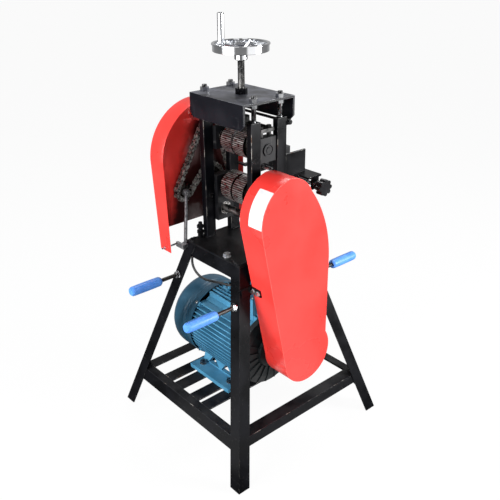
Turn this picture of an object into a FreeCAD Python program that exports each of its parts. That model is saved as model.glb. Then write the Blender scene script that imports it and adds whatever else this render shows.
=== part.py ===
import FreeCAD, Part
import math
import os

from FreeCAD import Vector

# Motor-driven scrap-cable stripping machine on a splayed angle-iron stand.
# Frame: origin on the floor under the middle of the stand, +Z up,
# +X towards the belt guard, -X towards the chain guard, -Y towards the operator's feed side.

# ---- stand ----
STAND_HEIGHT = 610.0
FOOT_HALF = 303.0          # outer corner of a foot, in X and in Y
TOP_HALF_X = 125.0         # outer corner of the stand's top
TOP_HALF_Y = 137.0
ANGLE_LEG = 40.0           # leg of the angle iron
ANGLE_WALL = 4.0
SHORT_LEG = 28.0           # short leg of the lower rails' unequal angle iron
LOWER_RAIL_TOP = 140.0
TABLE_THICK = 6.0
TABLE_TOP = STAND_HEIGHT + TABLE_THICK

# ---- head ----
HEAD_Y = -15.0             # the roller axes and the screw lie in this plane
POST_X = 20.0
POST_Y = 34.0
POST_OUT_X = 115.0
WINDOW_HALF_Y = 31.0       # half the clear width between a front and a rear post
POST_TOP = 1012.0
COVER_HALF_X = 116.0
COVER_HALF_Y = 93.5
COVER_TOP = 1066.0
COVER_WALL = 6.0
COVER_FLANGE = 69.0
BLOCK_THICK = 28.0         # bearing block, along X
BLOCK_OUT_X = 110.0
SIDE_GAP = 0.4             # clearance of the sliding blocks in the window

# ---- rollers and gears ----
UPPER_Z = 929.0
LOWER_Z = 787.0
UPPER_RADIUS = 40.0
LOWER_RADIUS = 45.0
BAND_WIDTH = 45.0          # one knurled band
GROOVE_WIDTH = 8.0         # between the two bands
SHAFT_RADIUS = 12.5
GEAR_MODULE = 3.0
GEAR_TEETH = 40
PINION_TEETH = 16
COUNTER_Z = LOWER_Z - GEAR_MODULE * (GEAR_TEETH + PINION_TEETH) / 2.0
BIG_PULLEY_RADIUS = 98.0
MOTOR_PULLEY_RADIUS = 42.0

# ---- chain ----
PITCH = 19.05
CHAIN_X = -152.0
UPPER_SPROCKET_TEETH = 12
LOWER_SPROCKET_TEETH = 13
ARM_SPROCKET_TEETH = 8
REAR_SPROCKET_TEETH = 8
ARM_PIVOT = (-135.0, 590.0)     # Y, Z
ARM_TOP_Y = -122.0
ARM_TOP_Z_GUESS = 757.0
REAR_IDLER = (44.0, 735.0)      # Y, Z

# ---- motor, frame size 132 ----
MOTOR_HEIGHT = 132.0
MOTOR_Z = LOWER_RAIL_TOP + MOTOR_HEIGHT
FOOT_BOLT_X = (-109.0, 31.0)
FOOT_BOLT_Y = 108.0
FIN_RADIUS = 125.0
CORE_RADIUS = 108.0
MOTOR_SHAFT_RADIUS = 19.0

# ---- guards ----
GUARD_SHEET = 1.5
BELT_GUARD_X = (146.0, 236.0)
BELT_GUARD_SHOULDER = (-149.0, 741.0)       # Y, Z where the front edge leaves the crown
BELT_GUARD_CROWN = (-55.0, 885.0)
BELT_GUARD_BACK = (113.0, 590.0)
BELT_GUARD_HEEL = (113.0, 350.0)
BELT_GUARD_TOE = (-58.0, 295.0)
CHAIN_GUARD_X = (-180.0, -116.5)
CHAIN_GUARD_ARC = (-63.0, 876.0, 150.0)     # centre Y, centre Z, radius
CROWN_Y = -66.0
FRONT_BULGE = (101.5, 111.0)                # how far the crown's front corner reaches, Y and Z
CHAIN_GUARD_CREST = 1036.0
CHAIN_GUARD_BOTTOM = 650.0

# ---- screw and handwheel ----
SCREW_RADIUS = 10.0
SCREW_TOP = 1186.0
WHEEL_RADIUS = 80.0
RIM_Z = 1194.0
GRIP_TOP = 1281.0
GRIP_AT = (-27.0, -61.0)        # X, Y of the crank grip

# ---- carrying handles ----
HANDLE_X = 138.0
HANDLE_Z = 502.0
HANDLE_REACH = 343.0
HANDLE_GRIP = 107.0
HANDLE_ROD_RADIUS = 6.0
HANDLE_GRIP_RADIUS = 12.0

# ---- rear cable guide ----
GUIDE_SHELF_TOP = 830.0
GUIDE_SCREW_Y = 134.0
GUIDE_SCREW_Z = 803.0
GUIDE_BORE_RADIUS = 14.0
FEED_Z = 856.0

os.makedirs("parts", exist_ok=True)


# ---- shape helpers ----
def box(x0, x1, y0, y1, z0, z1):
    return Part.makeBox(x1 - x0, y1 - y0, z1 - z0, Vector(x0, y0, z0))


def round_x(radius, x0, x1, y, z):
    return Part.makeCylinder(radius, x1 - x0, Vector(x0, y, z), Vector(1, 0, 0))


def round_y(radius, y0, y1, x, z):
    return Part.makeCylinder(radius, y1 - y0, Vector(x, y0, z), Vector(0, 1, 0))


def round_z(radius, z0, z1, x, y):
    return Part.makeCylinder(radius, z1 - z0, Vector(x, y, z0), Vector(0, 0, 1))


def face_of(points):
    return Part.Face(Part.makePolygon([Vector(*p) for p in points] + [Vector(*points[0])]))


def prism_x(outline_yz, x0, x1):
    """Extrude an outline in Y and Z along X."""
    return face_of([(x0, y, z) for y, z in outline_yz]).extrude(Vector(x1 - x0, 0, 0))


def prism_y(outline_xz, y0, y1):
    """Extrude an outline in X and Z along Y."""
    return face_of([(x, y0, z) for x, z in outline_xz]).extrude(Vector(0, y1 - y0, 0))


def hexagon(across_flats):
    corner = across_flats / math.sqrt(3.0)
    return [(corner * math.cos(math.radians(60 * k)), corner * math.sin(math.radians(60 * k))) for k in range(6)]


def nut_x(across_flats, x0, x1, y, z):
    return prism_x([(y + a, z + b) for a, b in hexagon(across_flats)], x0, x1)


def nut_y(across_flats, y0, y1, x, z):
    return prism_y([(x + a, z + b) for a, b in hexagon(across_flats)], y0, y1)


def nut_z(across_flats, z0, z1, x, y):
    ring = [(x + a, y + b, z0) for a, b in hexagon(across_flats)]
    return face_of(ring).extrude(Vector(0, 0, z1 - z0))


def turned(profile, base, axis):
    """Revolve a profile of (distance along the axis, radius) points about an axis from a base point."""
    points = [Vector(along, radius, 0) for along, radius in profile]
    solid = Part.Face(Part.makePolygon(points + [points[0]])).revolve(Vector(0, 0, 0), Vector(1, 0, 0), 360)
    turn = FreeCAD.Rotation(Vector(1, 0, 0), axis)
    solid.Placement = FreeCAD.Placement(base, turn)
    return solid


def fused(shapes):
    first = shapes[0]
    return first.fuse(shapes[1:]).removeSplitter() if len(shapes) > 1 else first


def cut_all(shape, tools):
    for tool in tools:
        shape = shape.cut(tool)
    return shape


def save(node, solids):
    """Write one node; several solids of one node stay separate solids."""
    flat = [solid for shape in solids for solid in shape.Solids]
    shape = flat[0] if len(flat) == 1 else Part.makeCompound(flat)
    shape.exportStep("parts/" + node + ".step")


# ---- stand: four splayed legs, two rings of rails, table plate ----
LEAN_X = (FOOT_HALF - TOP_HALF_X) / STAND_HEIGHT
LEAN_Y = (FOOT_HALF - TOP_HALF_Y) / STAND_HEIGHT


def leg(side_x, side_y):
    outer = FOOT_HALF
    inner = FOOT_HALF - ANGLE_WALL
    edge = FOOT_HALF - ANGLE_LEG
    profile = [(outer, outer), (edge, outer), (edge, inner), (inner, inner), (inner, edge), (outer, edge)]
    face = face_of([(side_x * x, side_y * y, 0) for x, y in profile])
    rise = Vector(side_x * (TOP_HALF_X - FOOT_HALF), side_y * (TOP_HALF_Y - FOOT_HALF), STAND_HEIGHT)
    return face.extrude(rise)


def inside_of_legs():
    """The space that the four legs' inner faces bound."""
    low = FOOT_HALF - ANGLE_WALL
    high_x = TOP_HALF_X - ANGLE_WALL
    high_y = TOP_HALF_Y - ANGLE_WALL

    def ring(half_x, half_y, z):
        corners = [(half_x, half_y), (-half_x, half_y), (-half_x, -half_y), (half_x, -half_y), (half_x, half_y)]
        return Part.makePolygon([Vector(x, y, z) for x, y in corners])

    return Part.makeLoft([ring(low, low, 0), ring(high_x, high_y, STAND_HEIGHT)], True, True)


def rail_profile(lean, z_top, upright, flat, side):
    """Angle section whose upright wall leans with the legs and lies against their inner faces."""
    def out(z):
        return FOOT_HALF - ANGLE_WALL - lean * z
    z_low = z_top - upright
    z_under = z_top - ANGLE_WALL
    points = [(out(z_low), z_low), (out(z_top), z_top), (out(z_top) - flat, z_top), (out(z_top) - flat, z_under)]
    points += [(out(z_under) - ANGLE_WALL, z_under), (out(z_low) - ANGLE_WALL, z_low)]
    return [(side * a, z) for a, z in points]


def rail_ring(z_top, front_size, side_size):
    """Front and rear rails run through; the side rails are coped to them."""
    room = inside_of_legs()
    cross = []
    for side in (-1, 1):
        outline = rail_profile(LEAN_Y, z_top, front_size[0], front_size[1], side)
        cross.append(prism_x(outline, -FOOT_HALF, FOOT_HALF).common(room))
    along = []
    for side in (-1, 1):
        outline = rail_profile(LEAN_X, z_top, side_size[0], side_size[1], side)
        rail = prism_y(outline, -FOOT_HALF, FOOT_HALF).common(room)
        rail = cut_all(rail, cross)
        along.append(max(rail.Solids, key=lambda solid: solid.Volume))
    return cross + along


handle_rods = []
handle_grips = []
grip_profile = [(0, 0), (0, HANDLE_GRIP_RADIUS - 3), (1, HANDLE_GRIP_RADIUS - 1), (3, HANDLE_GRIP_RADIUS)]
grip_profile += [(HANDLE_GRIP - 3, HANDLE_GRIP_RADIUS), (HANDLE_GRIP - 1, HANDLE_GRIP_RADIUS - 1)]
grip_profile += [(HANDLE_GRIP, HANDLE_GRIP_RADIUS - 3), (HANDLE_GRIP, 0)]
for side_x in (-1, 1):
    for side_y in (-1, 1):
        flange_y = FOOT_HALF - LEAN_Y * HANDLE_Z
        grip_y = HANDLE_REACH - HANDLE_GRIP
        low, high = sorted((side_y * (flange_y - 14), side_y * (HANDLE_REACH - 8)))
        rod = round_y(HANDLE_ROD_RADIUS, low, high, side_x * HANDLE_X, HANDLE_Z)
        low, high = sorted((side_y * (flange_y + 4), side_y * (flange_y + 12)))
        nut = nut_y(19.0, low, high, side_x * HANDLE_X, HANDLE_Z).cut(rod)
        low, high = sorted((side_y * (flange_y + 2), side_y * (flange_y + 4)))
        washer = round_y(12.0, low, high, side_x * HANDLE_X, HANDLE_Z).cut(rod)
        handle_rods += [rod, nut, washer]
        grip_base = Vector(side_x * HANDLE_X, side_y * grip_y, HANDLE_Z)
        handle_grips.append(turned(grip_profile, grip_base, Vector(0, side_y, 0)).cut(rod))

leg_names = {(-1, -1): "leg_front_left", (1, -1): "leg_front_right", (-1, 1): "leg_rear_left", (1, 1): "leg_rear_right"}
legs = {}
for sides, name in leg_names.items():
    legs[name] = cut_all(leg(*sides), handle_rods)
    save(name, [legs[name]])
handle_rods = [piece.cut(Part.makeCompound(list(legs.values()))) for piece in handle_rods]
save("handle_rods", handle_rods)
save("handle_grips", handle_grips)

top_rails = rail_ring(STAND_HEIGHT, (ANGLE_LEG, ANGLE_LEG), (ANGLE_LEG, ANGLE_LEG))
lower_rails = rail_ring(LOWER_RAIL_TOP, (ANGLE_LEG, SHORT_LEG), (SHORT_LEG, ANGLE_LEG))
save("top_rails", top_rails)
save("lower_rails", lower_rails)

LEAD_EXIT = (-42.0, 14.0)       # where the motor lead enters the table, X and Y
table = box(-TOP_HALF_X, TOP_HALF_X, -TOP_HALF_Y, TOP_HALF_Y, STAND_HEIGHT, TABLE_TOP)
cable_bush = round_z(9.0, STAND_HEIGHT - 10, STAND_HEIGHT, *LEAD_EXIT)
save("table_plate", [fused([table, cable_bush])])

SLAT_WIDTH = 45.0
SLAT_SLOT = 13.0
slat_half = FOOT_HALF - ANGLE_WALL - LEAN_Y * LOWER_RAIL_TOP - SHORT_LEG
slats = []
for bolt_x in FOOT_BOLT_X:
    for side in (-1, 1):
        near, far = sorted((bolt_x + side * SLAT_SLOT / 2, bolt_x + side * (SLAT_SLOT / 2 + SLAT_WIDTH)))
        slats.append(box(near, far, -slat_half, slat_half, LOWER_RAIL_TOP - 5, LOWER_RAIL_TOP))
save("motor_slats", slats)

# ---- motor: finned housing on feet, end shield, fan cowl, fan, shaft ----
HOUSING_X = (-150.0, 88.0)
FIN_THICK = 3.0
FIN_PITCH = 13.0


def motor_fins():
    """Fins lie flat on the sides and stand upright on top, all cut to one round outline."""
    blades = []
    for k in range(-7, 8):
        z = MOTOR_Z + k * FIN_PITCH
        for side in (-1, 1):
            low, high = sorted((side * 60, side * FIN_RADIUS))
            blades.append(box(HOUSING_X[0], HOUSING_X[1], low, high, z - FIN_THICK / 2, z + FIN_THICK / 2))
    for k in range(-3, 4):
        y = k * FIN_PITCH
        blades.append(box(HOUSING_X[0], HOUSING_X[1], y - FIN_THICK / 2, y + FIN_THICK / 2, MOTOR_Z + 60, MOTOR_Z + FIN_RADIUS))
    outline = round_x(FIN_RADIUS, HOUSING_X[0], HOUSING_X[1], 0, MOTOR_Z)
    return [blade.common(outline) for blade in blades]


def motor_foot(side):
    """Cast foot: a pad with two bolt holes and an upright web with two triangular windows."""
    pad_low, pad_high = sorted((side * 76, side * 140))
    pad = box(-139, 61, pad_low, pad_high, LOWER_RAIL_TOP, LOWER_RAIL_TOP + 14)
    web_low, web_high = sorted((side * 78, side * 92))
    web = prism_y([(-128, 150), (50, 150), (30, 235), (-108, 235)], web_low, web_high)
    cut_low, cut_high = sorted((side * 60, side * 110))
    windows = [prism_y([(x - 28, 158), (x + 28, 158), (x, 196)], cut_low, cut_high) for x in (-72, -6)]
    foot = cut_all(fused([pad, web]), windows)
    holes = [round_z(6.3, LOWER_RAIL_TOP - 1, LOWER_RAIL_TOP + 20, x, side * FOOT_BOLT_Y) for x in FOOT_BOLT_X]
    return cut_all(foot, holes)


core = round_x(CORE_RADIUS, HOUSING_X[0], HOUSING_X[1], 0, MOTOR_Z)
box_pad = box(-12, 72, -42, 42, MOTOR_Z + 60, MOTOR_Z + FIN_RADIUS + 2)
cowl_lugs = []
for corner in (45, 135, 225, 315):
    y = math.cos(math.radians(corner))
    z = math.sin(math.radians(corner))
    lug = box(HOUSING_X[0] - 2, HOUSING_X[0] + 12, -7, 7, 90, FIN_RADIUS + 4.2)
    lug.Placement = FreeCAD.Placement(Vector(0, 0, MOTOR_Z), FreeCAD.Rotation(Vector(1, 0, 0), corner - 90))
    cowl_lugs.append(lug.common(round_x(FIN_RADIUS + 3.5, -200, 0, 0, MOTOR_Z)))
housing = fused([core, box_pad] + motor_fins() + [motor_foot(-1), motor_foot(1)] + cowl_lugs)
save("motor_housing", [housing.cut(round_x(MOTOR_SHAFT_RADIUS + 0.5, HOUSING_X[0] - 5, HOUSING_X[1] + 5, 0, MOTOR_Z))])

shield_profile = [(0, 122), (6, 124), (16, 121), (22, 96), (24, 60), (31, 54), (31, MOTOR_SHAFT_RADIUS + 0.5)]
shield_profile += [(0, MOTOR_SHAFT_RADIUS + 0.5)]
save("motor_end_shield", [turned(shield_profile, Vector(HOUSING_X[1], 0, MOTOR_Z), Vector(1, 0, 0))])

COWL_X = (-146.0, -280.0)
cowl_outer = [(0, 131), (78, 131), (100, 124), (122, 102), (131, 84), (134, 78)]
cowl_inner = [(134, 40), (131.5, 40), (131.5, 78), (120, 100), (98.5, 122), (77.5, 129), (0, 129)]
cowl = turned(cowl_outer + cowl_inner, Vector(COWL_X[0], 0, MOTOR_Z), Vector(-1, 0, 0))
cowl_boss = turned([(131.5, 0), (134, 0), (134, 30), (131.5, 30)], Vector(COWL_X[0], 0, MOTOR_Z), Vector(-1, 0, 0))
cowl_bars = []
for k in range(12):
    bar = box(COWL_X[1], COWL_X[1] + 2.5, -3, 3, 28, 42)
    bar.Placement = FreeCAD.Placement(Vector(0, 0, MOTOR_Z), FreeCAD.Rotation(Vector(1, 0, 0), 30 * k))
    cowl_bars.append(bar)
save("motor_fan_cowl", [fused([cowl, cowl_boss] + cowl_bars)])

fan_hub = turned([(0, 19.2), (30, 19.2), (30, 30), (4, 60), (4, 98), (0, 98)], Vector(-205, 0, MOTOR_Z), Vector(-1, 0, 0))
fan_blades = []
for k in range(8):
    blade = box(-230, -206, -2, 2, 40, 100)
    blade.Placement = FreeCAD.Placement(Vector(0, 0, MOTOR_Z), FreeCAD.Rotation(Vector(1, 0, 0), 45 * k))
    fan_blades.append(blade)
save("motor_fan", [fused([fan_hub] + fan_blades)])
save("motor_shaft", [round_x(MOTOR_SHAFT_RADIUS, -238, 205, 0, MOTOR_Z)])

terminal_base = MOTOR_Z + FIN_RADIUS + 2
terminal_body = box(-15, 75, -45, 45, terminal_base, terminal_base + 46)
terminal_lid = box(-18, 78, -48, 48, terminal_base + 46, terminal_base + 54)
GLAND = (-15.0, 0.0, 428.0)
gland = round_x(9.0, GLAND[0] - 16, GLAND[0], GLAND[1], GLAND[2])
save("terminal_box", [terminal_body, terminal_lid, gland])

EYE_X = -108.0
eye_section = [(-4.5, 11), (-4.5, 15), (-2, 17.5), (2, 17.5), (4.5, 15), (4.5, 11), (2, 8.5), (-2, 8.5)]
eye_ring = turned(eye_section, Vector(EYE_X, 0, MOTOR_Z + FIN_RADIUS + 12), Vector(0, 1, 0))
eye_foot = round_z(9.0, CORE_RADIUS + MOTOR_Z + 4, MOTOR_Z + FIN_RADIUS, EYE_X, 0)
eye = fused([eye_ring, eye_foot]).cut(housing)
save("lifting_eye", [max(eye.Solids, key=lambda solid: solid.Volume)])

foot_bolts = []
for x in FOOT_BOLT_X:
    for side in (-1, 1):
        y = side * FOOT_BOLT_Y
        pad_top = LOWER_RAIL_TOP + 14
        stem = round_z(6.0, LOWER_RAIL_TOP - 18, pad_top + 2.5, x, y)
        washer = round_z(12.0, pad_top, pad_top + 2.5, x, y)
        head = nut_z(19.0, pad_top + 2.5, pad_top + 10.5, x, y)
        nut = nut_z(19.0, LOWER_RAIL_TOP - 15, LOWER_RAIL_TOP - 5, x, y)
        foot_bolts.append(fused([stem, washer, head, nut]))
save("motor_foot_bolts", foot_bolts)

# ---- motor lead: a limp cable from the terminal box up to the table's bush ----
LEAD_RADIUS = 4.2
lead_route = [(-31, 0, 428), (-62, 0, 428), (-91, -20, 431), (-128, -29, 428), (-166, -37, 422)]
lead_route += [(-204, -42, 426), (-235, -43, 449)]
lead_route += [(-246, -37, 483), (-229, -25, 517), (-197, -14, 537), (-157, -5, 541), (-116, 4, 531)]
lead_route += [(-75, 10, 528), (-42, 14, 556), (-42, 14, STAND_HEIGHT - 10)]


def soft_tube(route, radius):
    """A tube of straight runs joined by tangent arcs, each as large as its two runs allow."""
    points = [Vector(*p) for p in route]
    edges = []
    start = points[0]
    radii = []
    for before, at, after in zip(points, points[1:], points[2:]):
        back = (before - at).normalize()
        ahead = (after - at).normalize()
        half = (math.pi - back.getAngle(ahead)) / 2.0
        reach = 0.45 * min((before - at).Length, (after - at).Length)
        radii.append(reach / math.tan(half))
        enter = at + back * reach
        leave = at + ahead * reach
        inward = (back + ahead).normalize()
        centre = at + inward * (radii[-1] / math.cos(half))
        middle = centre - inward * radii[-1]
        edges.append(Part.LineSegment(start, enter).toShape())
        edges.append(Part.Arc(enter, middle, leave).toShape())
        start = leave
    edges.append(Part.LineSegment(start, points[-1]).toShape())
    path = Part.Wire(edges)
    rim = Part.Wire(Part.makeCircle(radius, points[0], points[1] - points[0]))
    tube = path.makePipeShell([rim], True, False)
    print("tube radii", [round(r) for r in radii], "length", round(path.Length, 1),
          "volume ratio", round(tube.Volume / (path.Length * math.pi * radius * radius), 4))
    return tube


save("motor_lead", [soft_tube(lead_route, LEAD_RADIUS)])

# ---- head: four posts, channel cover, studs and nuts ----
post_centres = []
posts = []
for side_x in (-1, 1):
    for side_y in (-1, 1):
        x = side_x * (POST_OUT_X - POST_X / 2)
        y = HEAD_Y + side_y * (WINDOW_HALF_Y + POST_Y / 2)
        post_centres.append((x, y))
        posts.append(box(x - POST_X / 2, x + POST_X / 2, y - POST_Y / 2, y + POST_Y / 2, TABLE_TOP, POST_TOP))

REAR_IDLER_PIN_RADIUS = 8.0
cover_outer = box(-COVER_HALF_X, COVER_HALF_X, HEAD_Y - COVER_HALF_Y, HEAD_Y + COVER_HALF_Y, COVER_TOP - COVER_FLANGE, COVER_TOP)
cover_room = box(-COVER_HALF_X - 1, COVER_HALF_X + 1, HEAD_Y - COVER_HALF_Y + COVER_WALL, HEAD_Y + COVER_HALF_Y - COVER_WALL,
                 COVER_TOP - COVER_FLANGE - 1, COVER_TOP - COVER_WALL)
BEVEL = 14.0
flange_low = COVER_TOP - COVER_FLANGE
bevels = []
for side in (-1, 1):
    outline = [(side * COVER_HALF_X, flange_low), (side * (COVER_HALF_X - BEVEL), flange_low), (side * COVER_HALF_X, flange_low + BEVEL)]
    bevels.append(prism_y(outline, HEAD_Y - COVER_HALF_Y - 1, HEAD_Y + COVER_HALF_Y + 1))
stud_holes = [round_z(7.2, COVER_TOP - 10, COVER_TOP + 1, x, y) for x, y in post_centres]
screw_hole = round_z(SCREW_RADIUS + 1, COVER_TOP - 10, COVER_TOP + 1, 0, HEAD_Y)
cover = cut_all(cover_outer, [cover_room, screw_hole] + bevels + stud_holes)
save("top_cover", [cover])

studs = []
cover_nuts = []
for x, y in post_centres:
    stud = round_z(7.0, POST_TOP, COVER_TOP + 17, x, y)
    studs.append(stud)
    cover_nuts.append(nut_z(22.0, COVER_TOP, COVER_TOP + 11, x, y).cut(stud))
    cover_nuts.append(nut_z(22.0, COVER_TOP - COVER_WALL - 9, COVER_TOP - COVER_WALL, x, y).cut(stud))
screw_bore = round_z(SCREW_RADIUS + 0.3, COVER_TOP - 30, COVER_TOP + 30, 0, HEAD_Y)
cover_nuts.append(nut_z(30.0, COVER_TOP, COVER_TOP + 16, 0, HEAD_Y).cut(screw_bore))
save("cover_studs", studs)
save("cover_nuts", cover_nuts)

TIE_Y = HEAD_Y + WINDOW_HALF_Y + POST_Y     # rear faces of the rear posts
TIE_ROD_Z = 995.0
tie_pieces = [round_x(4.0, -POST_OUT_X - 9, POST_OUT_X + 9, TIE_Y + 8, TIE_ROD_Z)]
for side in (-1, 1):
    near, far = sorted((side * (POST_OUT_X - 6), side * POST_OUT_X))
    tie_pieces.append(box(near, far, TIE_Y, TIE_Y + 16, TIE_ROD_Z - 8, TIE_ROD_Z + 8))
    near, far = sorted((side * POST_OUT_X, side * (POST_OUT_X + 7)))
    tie_pieces.append(nut_x(13.0, near, far, TIE_Y + 8, TIE_ROD_Z))
save("rear_tie_bar", [fused(tie_pieces)])

# ---- bearing blocks and bearings ----
BEARING_RADIUS = 20.0
RUNNING_FIT = 0.05
LOWER_BLOCK_Z = (668.0, 812.0)
UPPER_BLOCK_Z = (894.0, 964.0)


CAP_HEIGHT = 4.0
RINGED_CAP = [(0, 0), (0, 18), (CAP_HEIGHT, 18), (CAP_HEIGHT, 14), (2, 12.5), (2, 9), (CAP_HEIGHT, 8), (CAP_HEIGHT, 0)]


def bearing_block(side, z_low, z_high, gap, axes, closed=False):
    """Block with a bearing seat bored from the inside and a round cap outside, open for the shaft or closed."""
    outer, inner = side * BLOCK_OUT_X, side * (BLOCK_OUT_X - BLOCK_THICK)
    x_low, x_high = sorted((outer, inner))
    block = box(x_low, x_high, HEAD_Y - WINDOW_HALF_Y + gap, HEAD_Y + WINDOW_HALF_Y - gap, z_low, z_high)
    seat_low, seat_high = sorted((inner - side * 6, inner + side * (BLOCK_THICK - 4)))
    bore_low, bore_high = sorted((inner - side * 6, outer if closed else outer + side * 6))
    for z in axes:
        if closed:
            cap = turned(RINGED_CAP, Vector(outer, HEAD_Y, z), Vector(side, 0, 0))
        else:
            cap = round_x(18.0, *sorted((outer, outer + side * CAP_HEIGHT)), HEAD_Y, z)
        block = block.fuse(cap)
        block = block.cut(round_x(BEARING_RADIUS, seat_low, seat_high, HEAD_Y, z))
        block = block.cut(round_x(SHAFT_RADIUS + 0.5, bore_low, bore_high, HEAD_Y, z))
    return block.removeSplitter()


def bearing(side, z):
    x_low, x_high = sorted((side * (BLOCK_OUT_X - BLOCK_THICK), side * (BLOCK_OUT_X - 4)))
    ring = round_x(BEARING_RADIUS, x_low, x_high, HEAD_Y, z)
    return ring.cut(round_x(SHAFT_RADIUS + RUNNING_FIT, x_low - 1, x_high + 1, HEAD_Y, z))


save("lower_bearing_blocks", [bearing_block(side, *LOWER_BLOCK_Z, 0.0, (LOWER_Z, COUNTER_Z)) for side in (-1, 1)])
save("lower_bearings", [bearing(side, z) for side in (-1, 1) for z in (LOWER_Z, COUNTER_Z)])
save("upper_bearing_blocks", [bearing_block(side, *UPPER_BLOCK_Z, SIDE_GAP, (UPPER_Z,), side > 0) for side in (-1, 1)])
save("upper_bearings", [bearing(side, UPPER_Z) for side in (-1, 1)])

BEAM_TOP = UPPER_BLOCK_Z[1] + 24
BEAM_THICK = 10.0
SCREW_SEAT = 6.0
beam_end = BLOCK_OUT_X - 2
beam_pieces = [box(-beam_end, beam_end, HEAD_Y - 24, HEAD_Y + 24, BEAM_TOP - BEAM_THICK, BEAM_TOP)]
for x in (-96.0, 96.0):
    for y in (HEAD_Y - 15, HEAD_Y + 15):
        beam_pieces.append(round_z(6.5, UPPER_BLOCK_Z[1], BEAM_TOP, x, y))
        beam_pieces.append(nut_z(13.0, BEAM_TOP, BEAM_TOP + 6, x, y))
beam_pieces.append(round_z(22.0, BEAM_TOP, BEAM_TOP + 16, 0, HEAD_Y))
screw_socket = round_z(SCREW_RADIUS + 0.3, BEAM_TOP - SCREW_SEAT, BEAM_TOP + 20, 0, HEAD_Y)
save("pressure_beam", [fused(beam_pieces).cut(screw_socket)])


# ---- toothed outlines ----
def toothed(teeth, points, x0, x1, y, z, first_angle=0.0):
    """Solid with one tooth repeated round the axis; points are (share of the tooth's angle, radius)."""
    outline = []
    for k in range(teeth):
        for share, radius in points:
            angle = math.radians(first_angle) + 2 * math.pi * (k + share) / teeth
            outline.append((y + radius * math.cos(angle), z + radius * math.sin(angle)))
    return prism_x(outline, x0, x1)


def knurled_band(radius, x0, z):
    points = [(0.0, radius - 1.6), (0.3, radius), (0.7, radius)]
    return toothed(44, points, x0, x0 + BAND_WIDTH, HEAD_Y, z)


def roller(radius, z):
    """Two knurled bands on one sleeve, with a groove between them and a smooth collar at each end."""
    half = GROOVE_WIDTH / 2
    bands = [knurled_band(radius, half, z), knurled_band(radius, -half - BAND_WIDTH, z)]
    sleeve_half = half + BAND_WIDTH + 12
    sleeve = round_x(radius - 6, -sleeve_half, sleeve_half, HEAD_Y, z)
    return fused([sleeve] + bands).cut(round_x(SHAFT_RADIUS, -80, 80, HEAD_Y, z))


CUTTER_RADIUS = UPPER_RADIUS + 2
save("lower_roller", [roller(LOWER_RADIUS, LOWER_Z)])
cutter_room = round_x(CUTTER_RADIUS + 1, -1.5, 1.5, HEAD_Y, UPPER_Z)
upper_roller = roller(UPPER_RADIUS, UPPER_Z).cut(cutter_room)
save("upper_roller", sorted(upper_roller.Solids, key=lambda solid: solid.BoundBox.XMin))
edge_profile = [(-1.5, SHAFT_RADIUS), (1.5, SHAFT_RADIUS), (1.5, CUTTER_RADIUS - 4), (0.15, CUTTER_RADIUS),
                (-0.15, CUTTER_RADIUS), (-1.5, CUTTER_RADIUS - 4)]
save("cutting_disc", [turned(edge_profile, Vector(0, HEAD_Y, UPPER_Z), Vector(1, 0, 0))])

SHAFT_LEFT = CHAIN_X - 12
GEAR_X = (150.0, 170.0)
BIG_PULLEY_X = (175.0, 209.0)
save("lower_shaft", [round_x(SHAFT_RADIUS, SHAFT_LEFT, GEAR_X[1] + 3, HEAD_Y, LOWER_Z)])
save("upper_shaft", [round_x(SHAFT_RADIUS, SHAFT_LEFT, BLOCK_OUT_X - 1, HEAD_Y, UPPER_Z)])
save("countershaft", [round_x(SHAFT_RADIUS, -BLOCK_OUT_X, BIG_PULLEY_X[1] + 4, HEAD_Y, COUNTER_Z)])


# ---- gears ----
def spur_gear(teeth, z, first_angle):
    pitch_radius = GEAR_MODULE * teeth / 2
    root = pitch_radius - 1.25 * GEAR_MODULE
    tip = pitch_radius + 0.9 * GEAR_MODULE
    points = [(-0.34, root), (-0.225, pitch_radius), (-0.11, tip), (0.11, tip), (0.225, pitch_radius), (0.34, root)]
    gear = toothed(teeth, points, GEAR_X[0], GEAR_X[1], HEAD_Y, z, first_angle)
    return gear.cut(round_x(SHAFT_RADIUS, GEAR_X[0] - 20, GEAR_X[1] + 1, HEAD_Y, z))


PINION_GAP_UP = 90.0 + 180.0 / PINION_TEETH
save("lower_gear", [spur_gear(GEAR_TEETH, LOWER_Z, -90.0)])
save("pinion", [spur_gear(PINION_TEETH, COUNTER_Z, PINION_GAP_UP)])

# ---- pulleys and belts ----
BELT_WIDTH = 11.0
BELT_HEIGHT = 8.0
WEB_RECESS = 7.0
BELT_CENTRES = (BIG_PULLEY_X[0] + 9.5, BIG_PULLEY_X[1] - 9.5)


def grooved_pulley(radius, bore, y, z):
    width = BIG_PULLEY_X[1] - BIG_PULLEY_X[0]
    hub_edge = bore + 14
    rim_edge = radius - BELT_HEIGHT - 12
    recess = WEB_RECESS if rim_edge > hub_edge + 10 else 0.0
    profile = [(0, bore), (0, hub_edge), (recess, hub_edge + 2), (recess, rim_edge - 2), (0, rim_edge), (0, radius)]
    if not recess:
        profile = [(0, bore), (0, radius)]
    for centre in BELT_CENTRES:
        middle = centre - BIG_PULLEY_X[0]
        profile += [(middle - 7.2, radius), (middle - 6.0, radius - BELT_HEIGHT - 3)]
        profile += [(middle + 6.0, radius - BELT_HEIGHT - 3), (middle + 7.2, radius)]
    profile += [(width, radius)]
    if recess:
        profile += [(width, rim_edge), (width - recess, rim_edge - 2), (width - recess, hub_edge + 2), (width, hub_edge)]
    profile += [(width, bore)]
    return turned(profile, Vector(BIG_PULLEY_X[0], y, z), Vector(1, 0, 0))


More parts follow.
